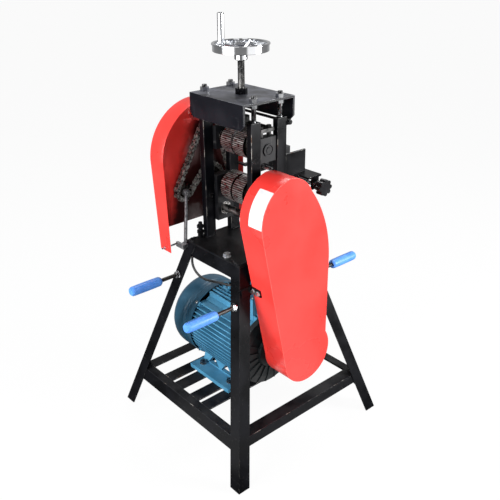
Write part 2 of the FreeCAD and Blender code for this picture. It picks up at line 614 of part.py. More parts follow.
def two_circle_loop(first, second, shrink, x):
    """Closed wire round two circles of different size, as a belt or a guard's rim lies."""
    (y1, z1, r1), (y2, z2, r2) = first, second
    r1, r2 = r1 - shrink, r2 - shrink
    span = math.hypot(y2 - y1, z2 - z1)
    heading = math.atan2(z2 - z1, y2 - y1)
    spread = math.acos((r1 - r2) / span)

    def at(y, z, radius, angle):
        return Vector(x, y + radius * math.cos(angle), z + radius * math.sin(angle))

    a, b = heading + spread, heading - spread
    edges = [Part.Arc(at(y1, z1, r1, a), at(y1, z1, r1, heading + math.pi), at(y1, z1, r1, b)).toShape()]
    edges.append(Part.LineSegment(at(y1, z1, r1, b), at(y2, z2, r2, b)).toShape())
    edges.append(Part.Arc(at(y2, z2, r2, b), at(y2, z2, r2, heading), at(y2, z2, r2, a)).toShape())
    edges.append(Part.LineSegment(at(y2, z2, r2, a), at(y1, z1, r1, a)).toShape())
    return Part.Wire(edges)


def loop_prism(first, second, shrink, x0, x1):
    return Part.Face(two_circle_loop(first, second, shrink, x0)).extrude(Vector(x1 - x0, 0, 0))


big_pulley = grooved_pulley(BIG_PULLEY_RADIUS, SHAFT_RADIUS, HEAD_Y, COUNTER_Z)
save("big_pulley", [big_pulley])
save("motor_pulley", [grooved_pulley(MOTOR_PULLEY_RADIUS, MOTOR_SHAFT_RADIUS, 0, MOTOR_Z)])
belt_top = (HEAD_Y, COUNTER_Z, BIG_PULLEY_RADIUS - 1)
belt_bottom = (0.0, MOTOR_Z, MOTOR_PULLEY_RADIUS - 1)
belts = []
for centre in BELT_CENTRES:
    x0, x1 = centre - BELT_WIDTH / 2, centre + BELT_WIDTH / 2
    belts.append(loop_prism(belt_top, belt_bottom, 0, x0, x1).cut(loop_prism(belt_top, belt_bottom, BELT_HEIGHT, x0 - 1, x1 + 1)))
save("v_belts", belts)

# ---- belt guard and its brackets ----
def guard_prism(grow, x0, x1):
    """Egg-shaped outline of the guard, grown or shrunk by a wall thickness, extruded along X."""
    def at(point):
        return Vector(x0, point[0], point[1])
    edges = [Part.Arc(at(BELT_GUARD_SHOULDER), at((-128, 838)), at(BELT_GUARD_CROWN)).toShape()]
    edges.append(Part.Arc(at(BELT_GUARD_CROWN), at((-7, 874)), at((32, 833))).toShape())
    edges.append(Part.Arc(at((32, 833)), at((93, 720)), at(BELT_GUARD_BACK)).toShape())
    edges.append(Part.LineSegment(at(BELT_GUARD_BACK), at(BELT_GUARD_HEEL)).toShape())
    edges.append(Part.Arc(at(BELT_GUARD_HEEL), at((36, 206)), at(BELT_GUARD_TOE)).toShape())
    edges.append(Part.LineSegment(at(BELT_GUARD_TOE), at(BELT_GUARD_SHOULDER)).toShape())
    outline = Part.Wire(edges)
    if grow:
        outline = outline.makeOffset2D(grow)
    return Part.Face(outline).extrude(Vector(x1 - x0, 0, 0))


guard_solid = guard_prism(0, *BELT_GUARD_X)
guard_room = guard_prism(-GUARD_SHEET, BELT_GUARD_X[0] - 1, BELT_GUARD_X[1] - GUARD_SHEET)
save("belt_guard", [guard_solid.cut(guard_room)])


def guard_bracket(side, z, rim_y):
    """Flat plate on the leg's outer face with a tab folded along the guard's rim."""
    leg_x = FOOT_HALF - LEAN_X * z
    leg_y = side * (FOOT_HALF - LEAN_Y * z)
    low, high = sorted((leg_y - side * 4, rim_y - side * 6))
    plate = box(leg_x - 8, BELT_GUARD_X[0] + 4, low, high, z - 12, z + 12)
    low, high = sorted((rim_y - side * 14, rim_y + side * 8))
    tab = box(BELT_GUARD_X[0], BELT_GUARD_X[0] + 38, low, high, z - 12, z + 12)
    near_rim = guard_prism(4, BELT_GUARD_X[0] - 1, BELT_GUARD_X[0] + 60)
    bracket = fused([plate, tab.common(near_rim)])
    bracket = cut_all(bracket, list(legs.values()) + [guard_solid])
    return max(bracket.Solids, key=lambda solid: solid.Volume)


BRACKET_Z = 540.0


def guard_rim_y(side, z):
    """Where the guard's rim stands at one height."""
    strip = guard_solid.common(box(BELT_GUARD_X[0], BELT_GUARD_X[0] + 5, -300, 300, z - 1, z + 1))
    return strip.BoundBox.YMin if side < 0 else strip.BoundBox.YMax


rim_front = guard_rim_y(-1, BRACKET_Z)
rim_rear = guard_rim_y(1, BRACKET_Z)
brackets = [guard_bracket(-1, BRACKET_Z, rim_front), guard_bracket(1, BRACKET_Z, rim_rear)]
save("guard_brackets", brackets)

# ---- chain guard and its stay ----
cy, cz, cr = CHAIN_GUARD_ARC
FRONT_LEAN = 0.052         # the guard's front edge moves back this much per unit of height lost


def chain_guard_shell(shrink, x0, x1, z_low):
    """Arched outline whose front edge leans back towards the foot."""
    left, right = cy - cr + shrink, cy + cr - shrink
    foot_left = left + FRONT_LEAN * (cz - z_low)
    corners = [Vector(x0, foot_left, z_low), Vector(x0, left, cz), Vector(x0, right, cz), Vector(x0, right, z_low)]
    crown = Vector(x0, CROWN_Y, CHAIN_GUARD_CREST - shrink)
    front = Part.Arc(corners[1], Vector(x0, CROWN_Y - FRONT_BULGE[0] + shrink * 0.7, cz + FRONT_BULGE[1] - shrink * 0.7), crown).toShape()
    rear = Part.Arc(crown, Vector(x0, cy + cr * 0.707 - shrink * 0.7, cz + cr * 0.707 - shrink * 0.7), corners[2]).toShape()
    edges = [Part.LineSegment(corners[0], corners[1]).toShape(), front, rear]
    edges += [Part.LineSegment(corners[2], corners[3]).toShape(), Part.LineSegment(corners[3], corners[0]).toShape()]
    return Part.Face(Part.Wire(edges)).extrude(Vector(x1 - x0, 0, 0))


STRIP_BOTTOM = 588.0
STAY_X = -150.0
STAY_Z = 600.0
shell = chain_guard_shell(0, *CHAIN_GUARD_X, CHAIN_GUARD_BOTTOM)
shell = shell.cut(chain_guard_shell(GUARD_SHEET, CHAIN_GUARD_X[0] + GUARD_SHEET, CHAIN_GUARD_X[1] + 1, CHAIN_GUARD_BOTTOM - 1))
guard_front = cy - cr + FRONT_LEAN * (cz - STAY_Z)
strip_low = cy - cr + FRONT_LEAN * (cz - STRIP_BOTTOM)
strip_high = cy - cr + FRONT_LEAN * (cz - CHAIN_GUARD_BOTTOM)
strip_outline = [(strip_low, STRIP_BOTTOM), (strip_high, CHAIN_GUARD_BOTTOM)]
strip_outline += [(strip_high + GUARD_SHEET, CHAIN_GUARD_BOTTOM), (strip_low + GUARD_SHEET, STRIP_BOTTOM)]
strip = prism_x(strip_outline, *CHAIN_GUARD_X)
taper = [(CHAIN_GUARD_X[1] + 0.5, cz), (CHAIN_GUARD_X[1] + 0.5, STRIP_BOTTOM - 1), (CHAIN_GUARD_X[1] - 10.5, STRIP_BOTTOM - 1)]
strip_taper = prism_y(taper, cy - cr - 5, cy - cr + 40)
panel_hole = round_x(5.5, CHAIN_GUARD_X[0] - 1, CHAIN_GUARD_X[0] + 5, 36.0, 804.0)
stay_rod = round_y(3.0, guard_front - 14, -158.0, STAY_X - 2, STAY_Z)
chain_guard = cut_all(fused([shell, strip]), [panel_hole, stay_rod, strip_taper])
save("chain_guard", [chain_guard])
strap = box(-156, -118, -158, -149.5, 590, 605)
foot = box(-133, -118, -150, -139.6, 594.5, 605)
stay_foot = fused([strap, foot]).cut(legs["leg_front_left"])
stay_foot = max(stay_foot.Solids, key=lambda solid: solid.Volume)
guard_spacers = [round_x(6.0, CHAIN_GUARD_X[0] + GUARD_SHEET, -POST_OUT_X, y, 978.0) for y in (-63.0, 24.0)]
stay_nuts = [nut_y(10.0, guard_front - 6, guard_front, STAY_X - 2, STAY_Z),
             nut_y(10.0, guard_front + GUARD_SHEET, guard_front + GUARD_SHEET + 6, STAY_X - 2, STAY_Z)]
stay_nuts = [nut.cut(strip) for nut in stay_nuts]
save("chain_guard_stay", [fused([stay_rod, stay_foot] + stay_nuts)] + guard_spacers)


# ---- chain path round four sprockets ----
def pitch_radius(teeth):
    return PITCH / (2 * math.sin(math.pi / teeth))


def chain_wheels(arm_z):
    """Centre Y, centre Z, teeth and side of the four wheels in the order the chain meets them."""
    return [(HEAD_Y, UPPER_Z, UPPER_SPROCKET_TEETH, 1), (ARM_TOP_Y, arm_z, ARM_SPROCKET_TEETH, 1),
            (HEAD_Y, LOWER_Z, LOWER_SPROCKET_TEETH, -1), (*REAR_IDLER, REAR_SPROCKET_TEETH, 1)]


def chain_spans(wheels):
    """Straight spans between neighbouring wheels: start point, end point, heading."""
    spans = []
    for k, (y1, z1, teeth1, side1) in enumerate(wheels):
        y2, z2, teeth2, side2 = wheels[(k + 1) % len(wheels)]
        r1, r2 = side1 * pitch_radius(teeth1), side2 * pitch_radius(teeth2)
        distance = math.hypot(y2 - y1, z2 - z1)
        heading = math.atan2(z2 - z1, y2 - y1) - math.asin((r2 - r1) / distance)
        normal = (-math.sin(heading), math.cos(heading))
        start = (y1 - r1 * normal[0], z1 - r1 * normal[1])
        end = (y2 - r2 * normal[0], z2 - r2 * normal[1])
        spans.append((start, end, heading))
    return spans


def chain_lengths(wheels):
    """For each wheel the wrap and the span after it, both in pitches."""
    spans = chain_spans(wheels)
    lengths = []
    for k, (y, z, teeth, side) in enumerate(wheels):
        turn = (spans[k][2] - spans[k - 1][2]) * side % (2 * math.pi)
        span = math.dist(spans[k][0], spans[k][1]) / PITCH
        lengths.append((turn * teeth / (2 * math.pi), span))
    return lengths


def pitches(arm_z):
    return sum(wrap + span for wrap, span in chain_lengths(chain_wheels(arm_z)))


def closing_arm_z(guess):
    """Lower or raise the tensioner's wheel until the chain has an even whole number of pitches."""
    target = 2 * round(pitches(guess) / 2)
    low, high = guess - 10, guess + 10
    for _ in range(50):
        middle = (low + high) / 2
        if pitches(middle) > target:
            low = middle
        else:
            high = middle
    return middle, target


arm_top_z, link_count = closing_arm_z(ARM_TOP_Z_GUESS)
wheels = chain_wheels(arm_top_z)
spans = chain_spans(wheels)
lengths = chain_lengths(wheels)
print("tensioner z", round(arm_top_z, 3), "links", link_count, "pitches", round(pitches(arm_top_z), 4))


def chain_point(distance):
    """Point on the pitch line, distance in pitches from the first wheel's entry; also the wheel it lies on."""
    for k, (y, z, teeth, side) in enumerate(wheels):
        wrap, span = lengths[k]
        if distance < wrap:
            entry = spans[k - 1][1]
            angle = math.atan2(entry[1] - z, entry[0] - y) + side * distance * 2 * math.pi / teeth
            radius = pitch_radius(teeth)
            return (y + radius * math.cos(angle), z + radius * math.sin(angle)), k
        distance -= wrap
        if distance < span:
            start, end, _ = spans[k]
            share = distance / span
            return (start[0] + share * (end[0] - start[0]), start[1] + share * (end[1] - start[1])), None
        distance -= span
    return chain_point(0.0)


rollers = [chain_point(k) for k in range(link_count)]
seat_angle = {}
for (y, z), k in rollers:
    if k is not None and k not in seat_angle:
        seat_angle[k] = math.degrees(math.atan2(z - wheels[k][1], y - wheels[k][0]))

PLATE_RADIUS = 8.0
ROLLER_RADIUS = 5.9
INNER_HALF = 4.6
PLATE_THICK = 1.8


def link_plate(start, end, x0, x1, radius):
    """Side plate with octagonal ends and a narrow waist."""
    heading = math.atan2(end[1] - start[1], end[0] - start[0])
    outline = []
    for centre, base in ((end, heading), (start, heading + math.pi)):
        for turn in (-112.5, -67.5, -22.5, 22.5, 67.5, 112.5):
            angle = base + math.radians(turn)
            reach = radius / math.cos(math.radians(22.5)) if abs(turn) < 100 else radius * 0.9
            outline.append((centre[0] + reach * math.cos(angle), centre[1] + reach * math.sin(angle)))
    return prism_x(outline, x0, x1)


chain_solids = []
for k in range(link_count):
    start, end = rollers[k][0], rollers[(k + 1) % link_count][0]
    if k % 2 == 0:
        sides = [link_plate(start, end, CHAIN_X + s * INNER_HALF - (PLATE_THICK if s < 0 else 0),
                            CHAIN_X + s * INNER_HALF + (PLATE_THICK if s > 0 else 0), PLATE_RADIUS) for s in (-1, 1)]
        barrels = []
        for centre in (start, end):
            ring = [(centre[0] + ROLLER_RADIUS * math.cos(math.radians(45 * n)),
                     centre[1] + ROLLER_RADIUS * math.sin(math.radians(45 * n))) for n in range(8)]
            barrels.append(prism_x(ring, CHAIN_X - INNER_HALF, CHAIN_X + INNER_HALF))
        chain_solids.append(sides[0].fuse([sides[1]] + barrels))
    else:
        inner_face = INNER_HALF + PLATE_THICK
        chain_solids.append(link_plate(start, end, CHAIN_X + inner_face, CHAIN_X + inner_face + PLATE_THICK, PLATE_RADIUS - 0.8))
        chain_solids.append(link_plate(start, end, CHAIN_X - inner_face - PLATE_THICK, CHAIN_X - inner_face, PLATE_RADIUS - 0.8))
save("roller_chain", chain_solids)


def sprocket(index, bore, hub_radius, hub_x0, hub_x1):
    y, z, teeth, side = wheels[index]
    centre = pitch_radius(teeth)
    seat = ROLLER_RADIUS + 0.55
    half = seat / centre / (2 * math.pi / teeth)
    points = [(-half * 0.62, centre - seat * 0.95), (half * 0.62, centre - seat * 0.95), (half * 1.05, centre),
              (0.45, centre + 5.0), (0.55, centre + 5.0), (1 - half * 1.05, centre)]
    blank = toothed(teeth, points, CHAIN_X - 3.8, CHAIN_X + 3.8, y, z, seat_angle[index])
    hub = round_x(hub_radius, hub_x0, hub_x1, y, z)
    return fused([blank, hub]).cut(round_x(bore, hub_x0 - 30, hub_x1 + 30, y, z))


PIN_RADIUS = 6.0
save("upper_sprocket", [sprocket(0, SHAFT_RADIUS, 20.0, CHAIN_X - 3.8, CHAIN_X + 16)])
save("arm_sprocket", [sprocket(1, PIN_RADIUS + RUNNING_FIT, 11.0, CHAIN_X - 8.5, CHAIN_X + 8.2)])
save("lower_sprocket", [sprocket(2, SHAFT_RADIUS, 20.0, CHAIN_X - 3.8, CHAIN_X + 16)])
save("rear_sprocket", [sprocket(3, REAR_IDLER_PIN_RADIUS + RUNNING_FIT, 11.5, CHAIN_X - 8.5, CHAIN_X + 8.5)])

rear_pin = round_x(REAR_IDLER_PIN_RADIUS, CHAIN_X - 14, -POST_OUT_X, *REAR_IDLER)
rear_collar = round_x(12.0, CHAIN_X + 9.0, -POST_OUT_X, *REAR_IDLER)
rear_head = round_x(11.0, CHAIN_X - 14, CHAIN_X - 9.0, *REAR_IDLER)
rear_idler_pin = fused([rear_pin, rear_collar, rear_head])
save("head_posts", posts)

# ---- idler arm ----
ARM_X = (-145.5, -135.0)
ARM_ROD_X = -138.3
pivot_y, pivot_z = ARM_PIVOT
tip_y, tip_z = ARM_TOP_Y, arm_top_z
arm_eye = round_x(12.0, ARM_X[0], ARM_X[1], pivot_y, pivot_z)
reach = Vector(0, tip_y - pivot_y, tip_z - pivot_z)
arm_rod = Part.makeCone(5.5, 5.0, reach.Length, Vector(ARM_ROD_X, pivot_y, pivot_z), reach)
arm_boss = round_x(11.0, CHAIN_X + 9.0, -133.0, tip_y, tip_z)
arm_pin = round_x(PIN_RADIUS, CHAIN_X - 14, -129.0, tip_y, tip_z)
arm_nut = nut_x(16.0, CHAIN_X - 14, CHAIN_X - 9.0, tip_y, tip_z)
arm = fused([arm_eye, arm_rod, arm_boss, arm_pin, arm_nut])
arm = arm.cut(round_x(4.3, -160, -120, pivot_y, pivot_z))
save("idler_arm", [arm])

# ---- screw, handwheel, crank grip ----
press_screw = round_z(SCREW_RADIUS, BEAM_TOP - SCREW_SEAT + 0.5, SCREW_TOP, 0, HEAD_Y)
save("press_screw", [press_screw])
rim_profile = [(0, 73.5), (0, 76), (1, 77.5), (17, 77.5), (18, 80), (21, 80), (22, 79), (22, 73), (20, 71), (17, 72), (3, 71.5)]
rim = turned(rim_profile, Vector(0, HEAD_Y, RIM_Z - 13), Vector(0, 0, 1))
hub_profile = [(0, 16), (2, 18.5), (13, 18.5), (20, 24), (25, 32), (27, 32), (28, 24), (30, SCREW_RADIUS), (0, SCREW_RADIUS)]
hub = turned(hub_profile, Vector(0, HEAD_Y, SCREW_TOP - 28), Vector(0, 0, 1))
GRIP_ANGLE = math.degrees(math.atan2(GRIP_AT[1] - HEAD_Y, GRIP_AT[0]))
spokes = []
for k in range(3):
    angle = math.radians(GRIP_ANGLE + 120 * k)
    inner = Vector(24 * math.cos(angle), HEAD_Y + 24 * math.sin(angle), 1180)
    outer = Vector(74 * math.cos(angle), HEAD_Y + 74 * math.sin(angle), RIM_Z - 2)
    spokes.append(Part.makeCone(6.5, 6.0, (outer - inner).Length, inner, outer - inner))
grip_pad = round_z(10.0, 1183.0, 1200.0, *GRIP_AT)
grip_bolt_hole = round_z(4.0, 1160.0, 1290.0, *GRIP_AT)
wheel = fused([rim, hub] + spokes + [grip_pad])
wheel = cut_all(wheel, [nut_z(14.0, 1170, 1183, *GRIP_AT), round_z(SCREW_RADIUS, 1140, SCREW_TOP, 0, HEAD_Y), grip_bolt_hole])
save("handwheel", [wheel])
crank_bolt = fused([round_z(4.0, 1176, 1276, *GRIP_AT), nut_z(13.0, 1177.5, 1182.5, *GRIP_AT), round_z(6.5, 1273, 1276, *GRIP_AT)])
save("crank_bolt", [crank_bolt])
grip_profile = [(0.4, 4.1), (0.4, 8.2), (1.4, 9.2), (79.5, 9.2), (81, 7.7), (81, 6.8), (72.7, 6.8), (72.7, 4.1)]
save("crank_grip", [turned(grip_profile, Vector(GRIP_AT[0], GRIP_AT[1], 1200), Vector(0, 0, 1))])

# ---- rear cable guide ----
side_plate = box(97, 103, TIE_Y, 140, GUIDE_SHELF_TOP, 899)
save("guide_side_plate", [side_plate])
SLOT_HALF_X = 52.0
shelf = box(-80, 152, 104, 158, GUIDE_SHELF_TOP - 6, GUIDE_SHELF_TOP)
shelf_slot = box(-SLOT_HALF_X, SLOT_HALF_X, GUIDE_SCREW_Y - 6, GUIDE_SCREW_Y + 6, GUIDE_SHELF_TOP - 8, GUIDE_SHELF_TOP + 2)
shelf_arm = box(97, 113, TIE_Y, 104, GUIDE_SHELF_TOP - 6, GUIDE_SHELF_TOP)
left_arm = box(-80, -64, TIE_Y, 104, GUIDE_SHELF_TOP - 6, GUIDE_SHELF_TOP)
left_foot = box(-POST_OUT_X, -64, TIE_Y, TIE_Y + 12, GUIDE_SHELF_TOP - 6, GUIDE_SHELF_TOP)
lugs = []
for x in (-80, 146):
    lug = box(x, x + 6, GUIDE_SCREW_Y - 14, GUIDE_SCREW_Y + 14, GUIDE_SCREW_Z - 14, GUIDE_SHELF_TOP - 6)
    lugs.append(lug)
screw_clear = round_x(6.05, -90, 170, GUIDE_SCREW_Y, GUIDE_SCREW_Z)
guide_shelf = fused([shelf, shelf_arm, left_arm, left_foot] + lugs)
guide_shelf = cut_all(guide_shelf, [shelf_slot, screw_clear])
save("guide_shelf", [guide_shelf])

collars = [round_x(9.0, -86, -80.4, GUIDE_SCREW_Y, GUIDE_SCREW_Z), round_x(9.0, 152.4, 160, GUIDE_SCREW_Y, GUIDE_SCREW_Z)]
save("guide_screw", [fused([round_x(6.0, -89, 172, GUIDE_SCREW_Y, GUIDE_SCREW_Z)] + collars)])
knob_hub = round_x(14.0, 160, 176, GUIDE_SCREW_Y, GUIDE_SCREW_Z)
knob_disc = round_x(19.5, 174, 194, GUIDE_SCREW_Y, GUIDE_SCREW_Z)
lobes = []
for k in range(8):
    angle = math.radians(45 * k)
    lobes.append(round_x(6.5, 174, 194, GUIDE_SCREW_Y + 18.5 * math.cos(angle), GUIDE_SCREW_Z + 18.5 * math.sin(angle)))
star = fused([knob_hub, knob_disc] + lobes).cut(round_x(6.0, 155, 172, GUIDE_SCREW_Y, GUIDE_SCREW_Z))
save("star_knob", [star])

carriage = box(-24, 24, 110, 154, GUIDE_SHELF_TOP + 0.3, 888)
tongue = box(-12, 12, GUIDE_SCREW_Y - 5.6, GUIDE_SCREW_Y + 5.6, GUIDE_SCREW_Z, GUIDE_SHELF_TOP + 2)
carriage_nut = box(-12, 12, GUIDE_SCREW_Y - 12, GUIDE_SCREW_Y + 12, GUIDE_SCREW_Z - 13, GUIDE_SHELF_TOP - 6.4)
guide_block = fused([carriage, tongue, carriage_nut])
guide_block = cut_all(guide_block, [round_x(6.3, -30, 30, GUIDE_SCREW_Y, GUIDE_SCREW_Z),
                                    round_y(GUIDE_BORE_RADIUS, 100, 160, 0, FEED_Z)])
save("guide_block", [guide_block])

# ---- loose fasteners: table bolts, a slack-adjuster stud, guard bolts, arm bolt ----
fasteners = [rear_idler_pin]
for x, y in ((50.0, -122.0), (-95.0, 118.0), (95.0, 118.0)):
    washer = round_z(12.0, TABLE_TOP, TABLE_TOP + 2.5, x, y)
    head = nut_z(19.0, TABLE_TOP + 2.5, TABLE_TOP + 11, x, y)
    fasteners.append(fused([washer, head]))
STUD_AT = (-113.0, -93.0)
stud = round_z(6.0, TABLE_TOP, TABLE_TOP + 50, *STUD_AT)
stud_nuts = [nut_z(19.0, TABLE_TOP + 14, TABLE_TOP + 24, *STUD_AT), nut_z(19.0, TABLE_TOP + 31, TABLE_TOP + 41, *STUD_AT)]
stud_nuts.append(round_z(9.0, TABLE_TOP, TABLE_TOP + 14, *STUD_AT))
fasteners.append(fused([stud] + stud_nuts))
for side, rim_y in ((-1, rim_front), (1, rim_rear)):
    for x in (BELT_GUARD_X[0] + 9, BELT_GUARD_X[0] + 29):
        low, high = sorted((rim_y + side * 0.2, rim_y + side * 12))
        bolt = fused([nut_y(10.0, *sorted((rim_y + side * 6.5, rim_y + side * 12)), x, BRACKET_Z),
                      round_y(8.0, *sorted((rim_y, rim_y + side * 6.5)), x, BRACKET_Z)])
        bolt = cut_all(bolt, [guard_solid] + brackets)
        fasteners.append(max(bolt.Solids, key=lambda solid: solid.Volume))
pivot_shank = round_x(4.0, -152.0, -128.0, pivot_y, pivot_z).cut(legs["leg_front_left"])
pivot_shank = max(pivot_shank.Solids, key=lambda solid: solid.Volume)
pivot_head = nut_x(13.0, -152.0, -145.9, pivot_y, pivot_z)
fasteners.append(fused([pivot_shank, pivot_head]))
save("frame_fasteners", fasteners)
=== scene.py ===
import bmesh
import bpy
import math
from mathutils import Matrix, Vector


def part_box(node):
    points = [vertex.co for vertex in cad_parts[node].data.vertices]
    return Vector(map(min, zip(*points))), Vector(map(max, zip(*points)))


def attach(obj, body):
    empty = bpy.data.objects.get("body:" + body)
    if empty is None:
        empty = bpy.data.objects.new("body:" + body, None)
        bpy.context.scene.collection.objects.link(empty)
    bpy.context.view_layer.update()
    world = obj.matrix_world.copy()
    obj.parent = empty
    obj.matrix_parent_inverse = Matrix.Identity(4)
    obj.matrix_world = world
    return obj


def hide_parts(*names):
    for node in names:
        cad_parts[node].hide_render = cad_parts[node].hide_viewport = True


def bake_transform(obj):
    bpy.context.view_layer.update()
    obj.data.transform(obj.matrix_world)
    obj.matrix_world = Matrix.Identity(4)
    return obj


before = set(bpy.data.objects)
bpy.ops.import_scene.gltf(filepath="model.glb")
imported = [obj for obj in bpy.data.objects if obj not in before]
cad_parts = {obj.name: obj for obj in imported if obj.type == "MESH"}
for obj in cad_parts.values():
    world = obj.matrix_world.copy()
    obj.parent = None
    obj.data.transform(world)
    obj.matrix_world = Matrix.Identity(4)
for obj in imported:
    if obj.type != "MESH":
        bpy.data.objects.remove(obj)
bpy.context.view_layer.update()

# Camera: the viewer stands at the front right corner, a little above the handwheel.
# A 48 mm lens on a 36 mm sensor, turned 49 degrees from the feed side and 25 degrees down.
EYE = (1.4273, -1.2253, 1.47311)
YAW, PITCH, ROLL = (math.radians(angle) for angle in (49.1146, 25.3859, -0.5864))
LENS, SENSOR, FAR_CLIP = 48.405, 36.0, 60
ahead = Vector((-math.sin(YAW) * math.cos(PITCH), math.cos(YAW) * math.cos(PITCH), -math.sin(PITCH)))
level = Vector((math.cos(YAW), math.sin(YAW), 0))
upright = level.cross(ahead)
right = math.cos(ROLL) * level + math.sin(ROLL) * upright
up = -math.sin(ROLL) * level + math.cos(ROLL) * upright
camera = bpy.data.objects.new("camera", bpy.data.cameras.new("camera"))
camera.data.lens, camera.data.sensor_width, camera.data.clip_end = LENS, SENSOR, FAR_CLIP
camera.matrix_world = Matrix.Translation(EYE) @ Matrix((right, up, -ahead)).transposed().to_4x4()
bpy.context.collection.objects.link(camera)
bpy.context.scene.camera = camera
bpy.context.scene.view_settings.view_transform = "Standard"

# Studio: a plain white sheet under the machine and plain white all round, seen as white by the camera.
# In reflections the room has a broad white wall on each side of the viewer and greyer walls elsewhere.
SHEET_HALF = 40.0
FRONT = (0.759, -0.651, 0.0)             # the way the machine's front right corner faces
WALLS = ((0.0, 0.4), (0.1, 0.34), (0.19, 0.2), (0.5, 0.16),            # (place, tone): place 0 is the wall behind
         (0.58, 0.2), (0.63, 1.0), (0.935, 1.0), (0.965, 0.2))         # the machine and place 1 the one in front
BLACK, WHITE = (0, 0, 0, 1), (1, 1, 1, 1)
SHEET_SEEN, SHEET_BOUNCE = (0.9, 0.9, 0.9), (0.22, 0.22, 0.22)         # it throws little light up under the machine
SHADOWLESS = 0.95                        # how far the camera sees the sheet as plain white: the rest keeps a shadow
FILL_TONE, FILL_STRENGTH = (0.93, 0.97, 1, 1), 0.13
MIX_FIRST, MIX_SECOND, MIX_RESULT = 6, 7, 2       # the Mix node's sockets for colours


def feed(node, inputs):
    """Set a node's inputs to values, or link them to other nodes' outputs."""
    for socket, value in inputs.items():
        if isinstance(value, bpy.types.NodeSocket):
            node.id_data.links.new(value, node.inputs[socket])
        else:
            node.inputs[socket].default_value = value


def new_node(tree, kind, inputs=None, **settings):
    """A shader node with its settings and inputs."""
    node = tree.nodes.new("ShaderNode" + kind)
    for name, setting in settings.items():
        setattr(node, name, setting)
    feed(node, inputs or {})
    return node


def operation(tree, kind, *values):
    """A Math node; each value is a number or another node's output."""
    return new_node(tree, "Math", dict(enumerate(values)), operation=kind).outputs[0]


def mixed(tree, share, first, second):
    """A colour between two others."""
    first, second = ((*colour, 1) if isinstance(colour, tuple) else colour for colour in (first, second))
    colours = {"Factor": share, MIX_FIRST: first, MIX_SECOND: second}
    return new_node(tree, "Mix", colours, data_type="RGBA").outputs[MIX_RESULT]


def graph(name):
    """A new material with its node tree and its Principled shader."""
    material = bpy.data.materials.new(name)
    material.use_nodes = True
    return material, material.node_tree, material.node_tree.nodes["Principled BSDF"]


def room(tree, direction):
    """Brightness of the studio walls in a direction: white to both sides of the viewer, greyer elsewhere."""
    flat = new_node(tree, "VectorMath", {0: direction, 1: (1, 1, 0)}, operation="MULTIPLY")
    unit = new_node(tree, "VectorMath", {0: flat.outputs[0]}, operation="NORMALIZE")
    facing = new_node(tree, "VectorMath", {0: unit.outputs[0], 1: FRONT}, operation="DOT_PRODUCT")
    walls = new_node(tree, "ValToRGB", {"Fac": operation(tree, "MULTIPLY_ADD", facing.outputs["Value"], 0.5, 0.5)})
    while len(walls.color_ramp.elements) < len(WALLS):
        walls.color_ramp.elements.new(0.5)
    for element, (place, tone) in zip(walls.color_ramp.elements, WALLS):
        element.position = place
        element.color = (tone, tone, tone, 1)
    return walls.outputs["Color"]


floor_mesh = bpy.data.meshes.new("floor")
floor_mesh.from_pydata([(x * SHEET_HALF, y * SHEET_HALF, 0) for x, y in ((-1, -1), (1, -1), (1, 1), (-1, 1))],
                       [], [(0, 1, 2, 3)])
floor = bpy.data.objects.new("floor", floor_mesh)
bpy.context.collection.objects.link(floor)

paper, tree, shader = graph("white_paper")
path = new_node(tree, "LightPath").outputs
feed(shader, {"Roughness": 0.9, "Specular IOR Level": 0.1,
              "Base Color": mixed(tree, path["Is Diffuse Ray"], SHEET_SEEN, SHEET_BOUNCE)})
white = new_node(tree, "Emission", {"Color": WHITE, "Strength": 1.0})
spot = new_node(tree, "NewGeometry").outputs["Position"]
mirrored = new_node(tree, "Emission", {"Color": room(tree, spot), "Strength": 1.0})
whiteness = operation(tree, "MULTIPLY", path["Is Camera Ray"], SHADOWLESS)
seen = new_node(tree, "MixShader", {"Fac": whiteness, 1: shader.outputs[0], 2: white.outputs[0]})
glossy = new_node(tree, "MixShader", {"Fac": path["Is Glossy Ray"], 1: seen.outputs[0], 2: mirrored.outputs[0]})
feed(tree.nodes["Material Output"], {"Surface": glossy.outputs[0]})
floor_mesh.materials.append(paper)

world = bpy.data.worlds.new("studio")
bpy.context.scene.world = world
world.use_nodes = True
tree = world.node_tree
path = new_node(tree, "LightPath").outputs
fill = tree.nodes["Background"]
feed(fill, {"Color": FILL_TONE, "Strength": FILL_STRENGTH})
walls = new_node(tree, "Background", {"Color": room(tree, new_node(tree, "TexCoord").outputs["Generated"])})
backdrop = new_node(tree, "Background", {"Color": WHITE})
reflected = new_node(tree, "MixShader", {"Fac": path["Is Glossy Ray"], 1: fill.outputs[0], 2: walls.outputs[0]})
through = operation(tree, "MAXIMUM", path["Is Camera Ray"], path["Is Transmission Ray"])
seen = new_node(tree, "MixShader", {"Fac": through, 1: reflected.outputs[0], 2: backdrop.outputs[0]})
feed(tree.nodes["World Output"], {"Surface": seen.outputs[0]})

# Lamps: a soft box at the right, one at the left front, one above and behind and a weak one in front.
# The weak one fills the insides of the guards and draws no highlight.
LAMP_TARGET = Vector((0, 0, 0.7))
for name, spot, size, power in (("softbox_right", (2.05, 1.45, 1.1), 0.75, 80),
                                ("softbox_left", (-0.05, -2.45, 1.25), 1.9, 86),
                                ("softbox_above", (-0.9, 1.2, 2.9), 1.4, 40),
                                ("softbox_front", (2.0, -1.75, 0.75), 0.8, 21)):
    lamp = bpy.data.objects.new(name, bpy.data.lights.new(name, "AREA"))
    lamp.data.energy, lamp.data.size = power, size
    lamp.location = spot
    lamp.visible_glossy = name != "softbox_front"
    lamp.rotation_euler = (LAMP_TARGET - Vector(spot)).to_track_quat("-Z", "Y").to_euler()
    bpy.context.collection.objects.link(lamp)

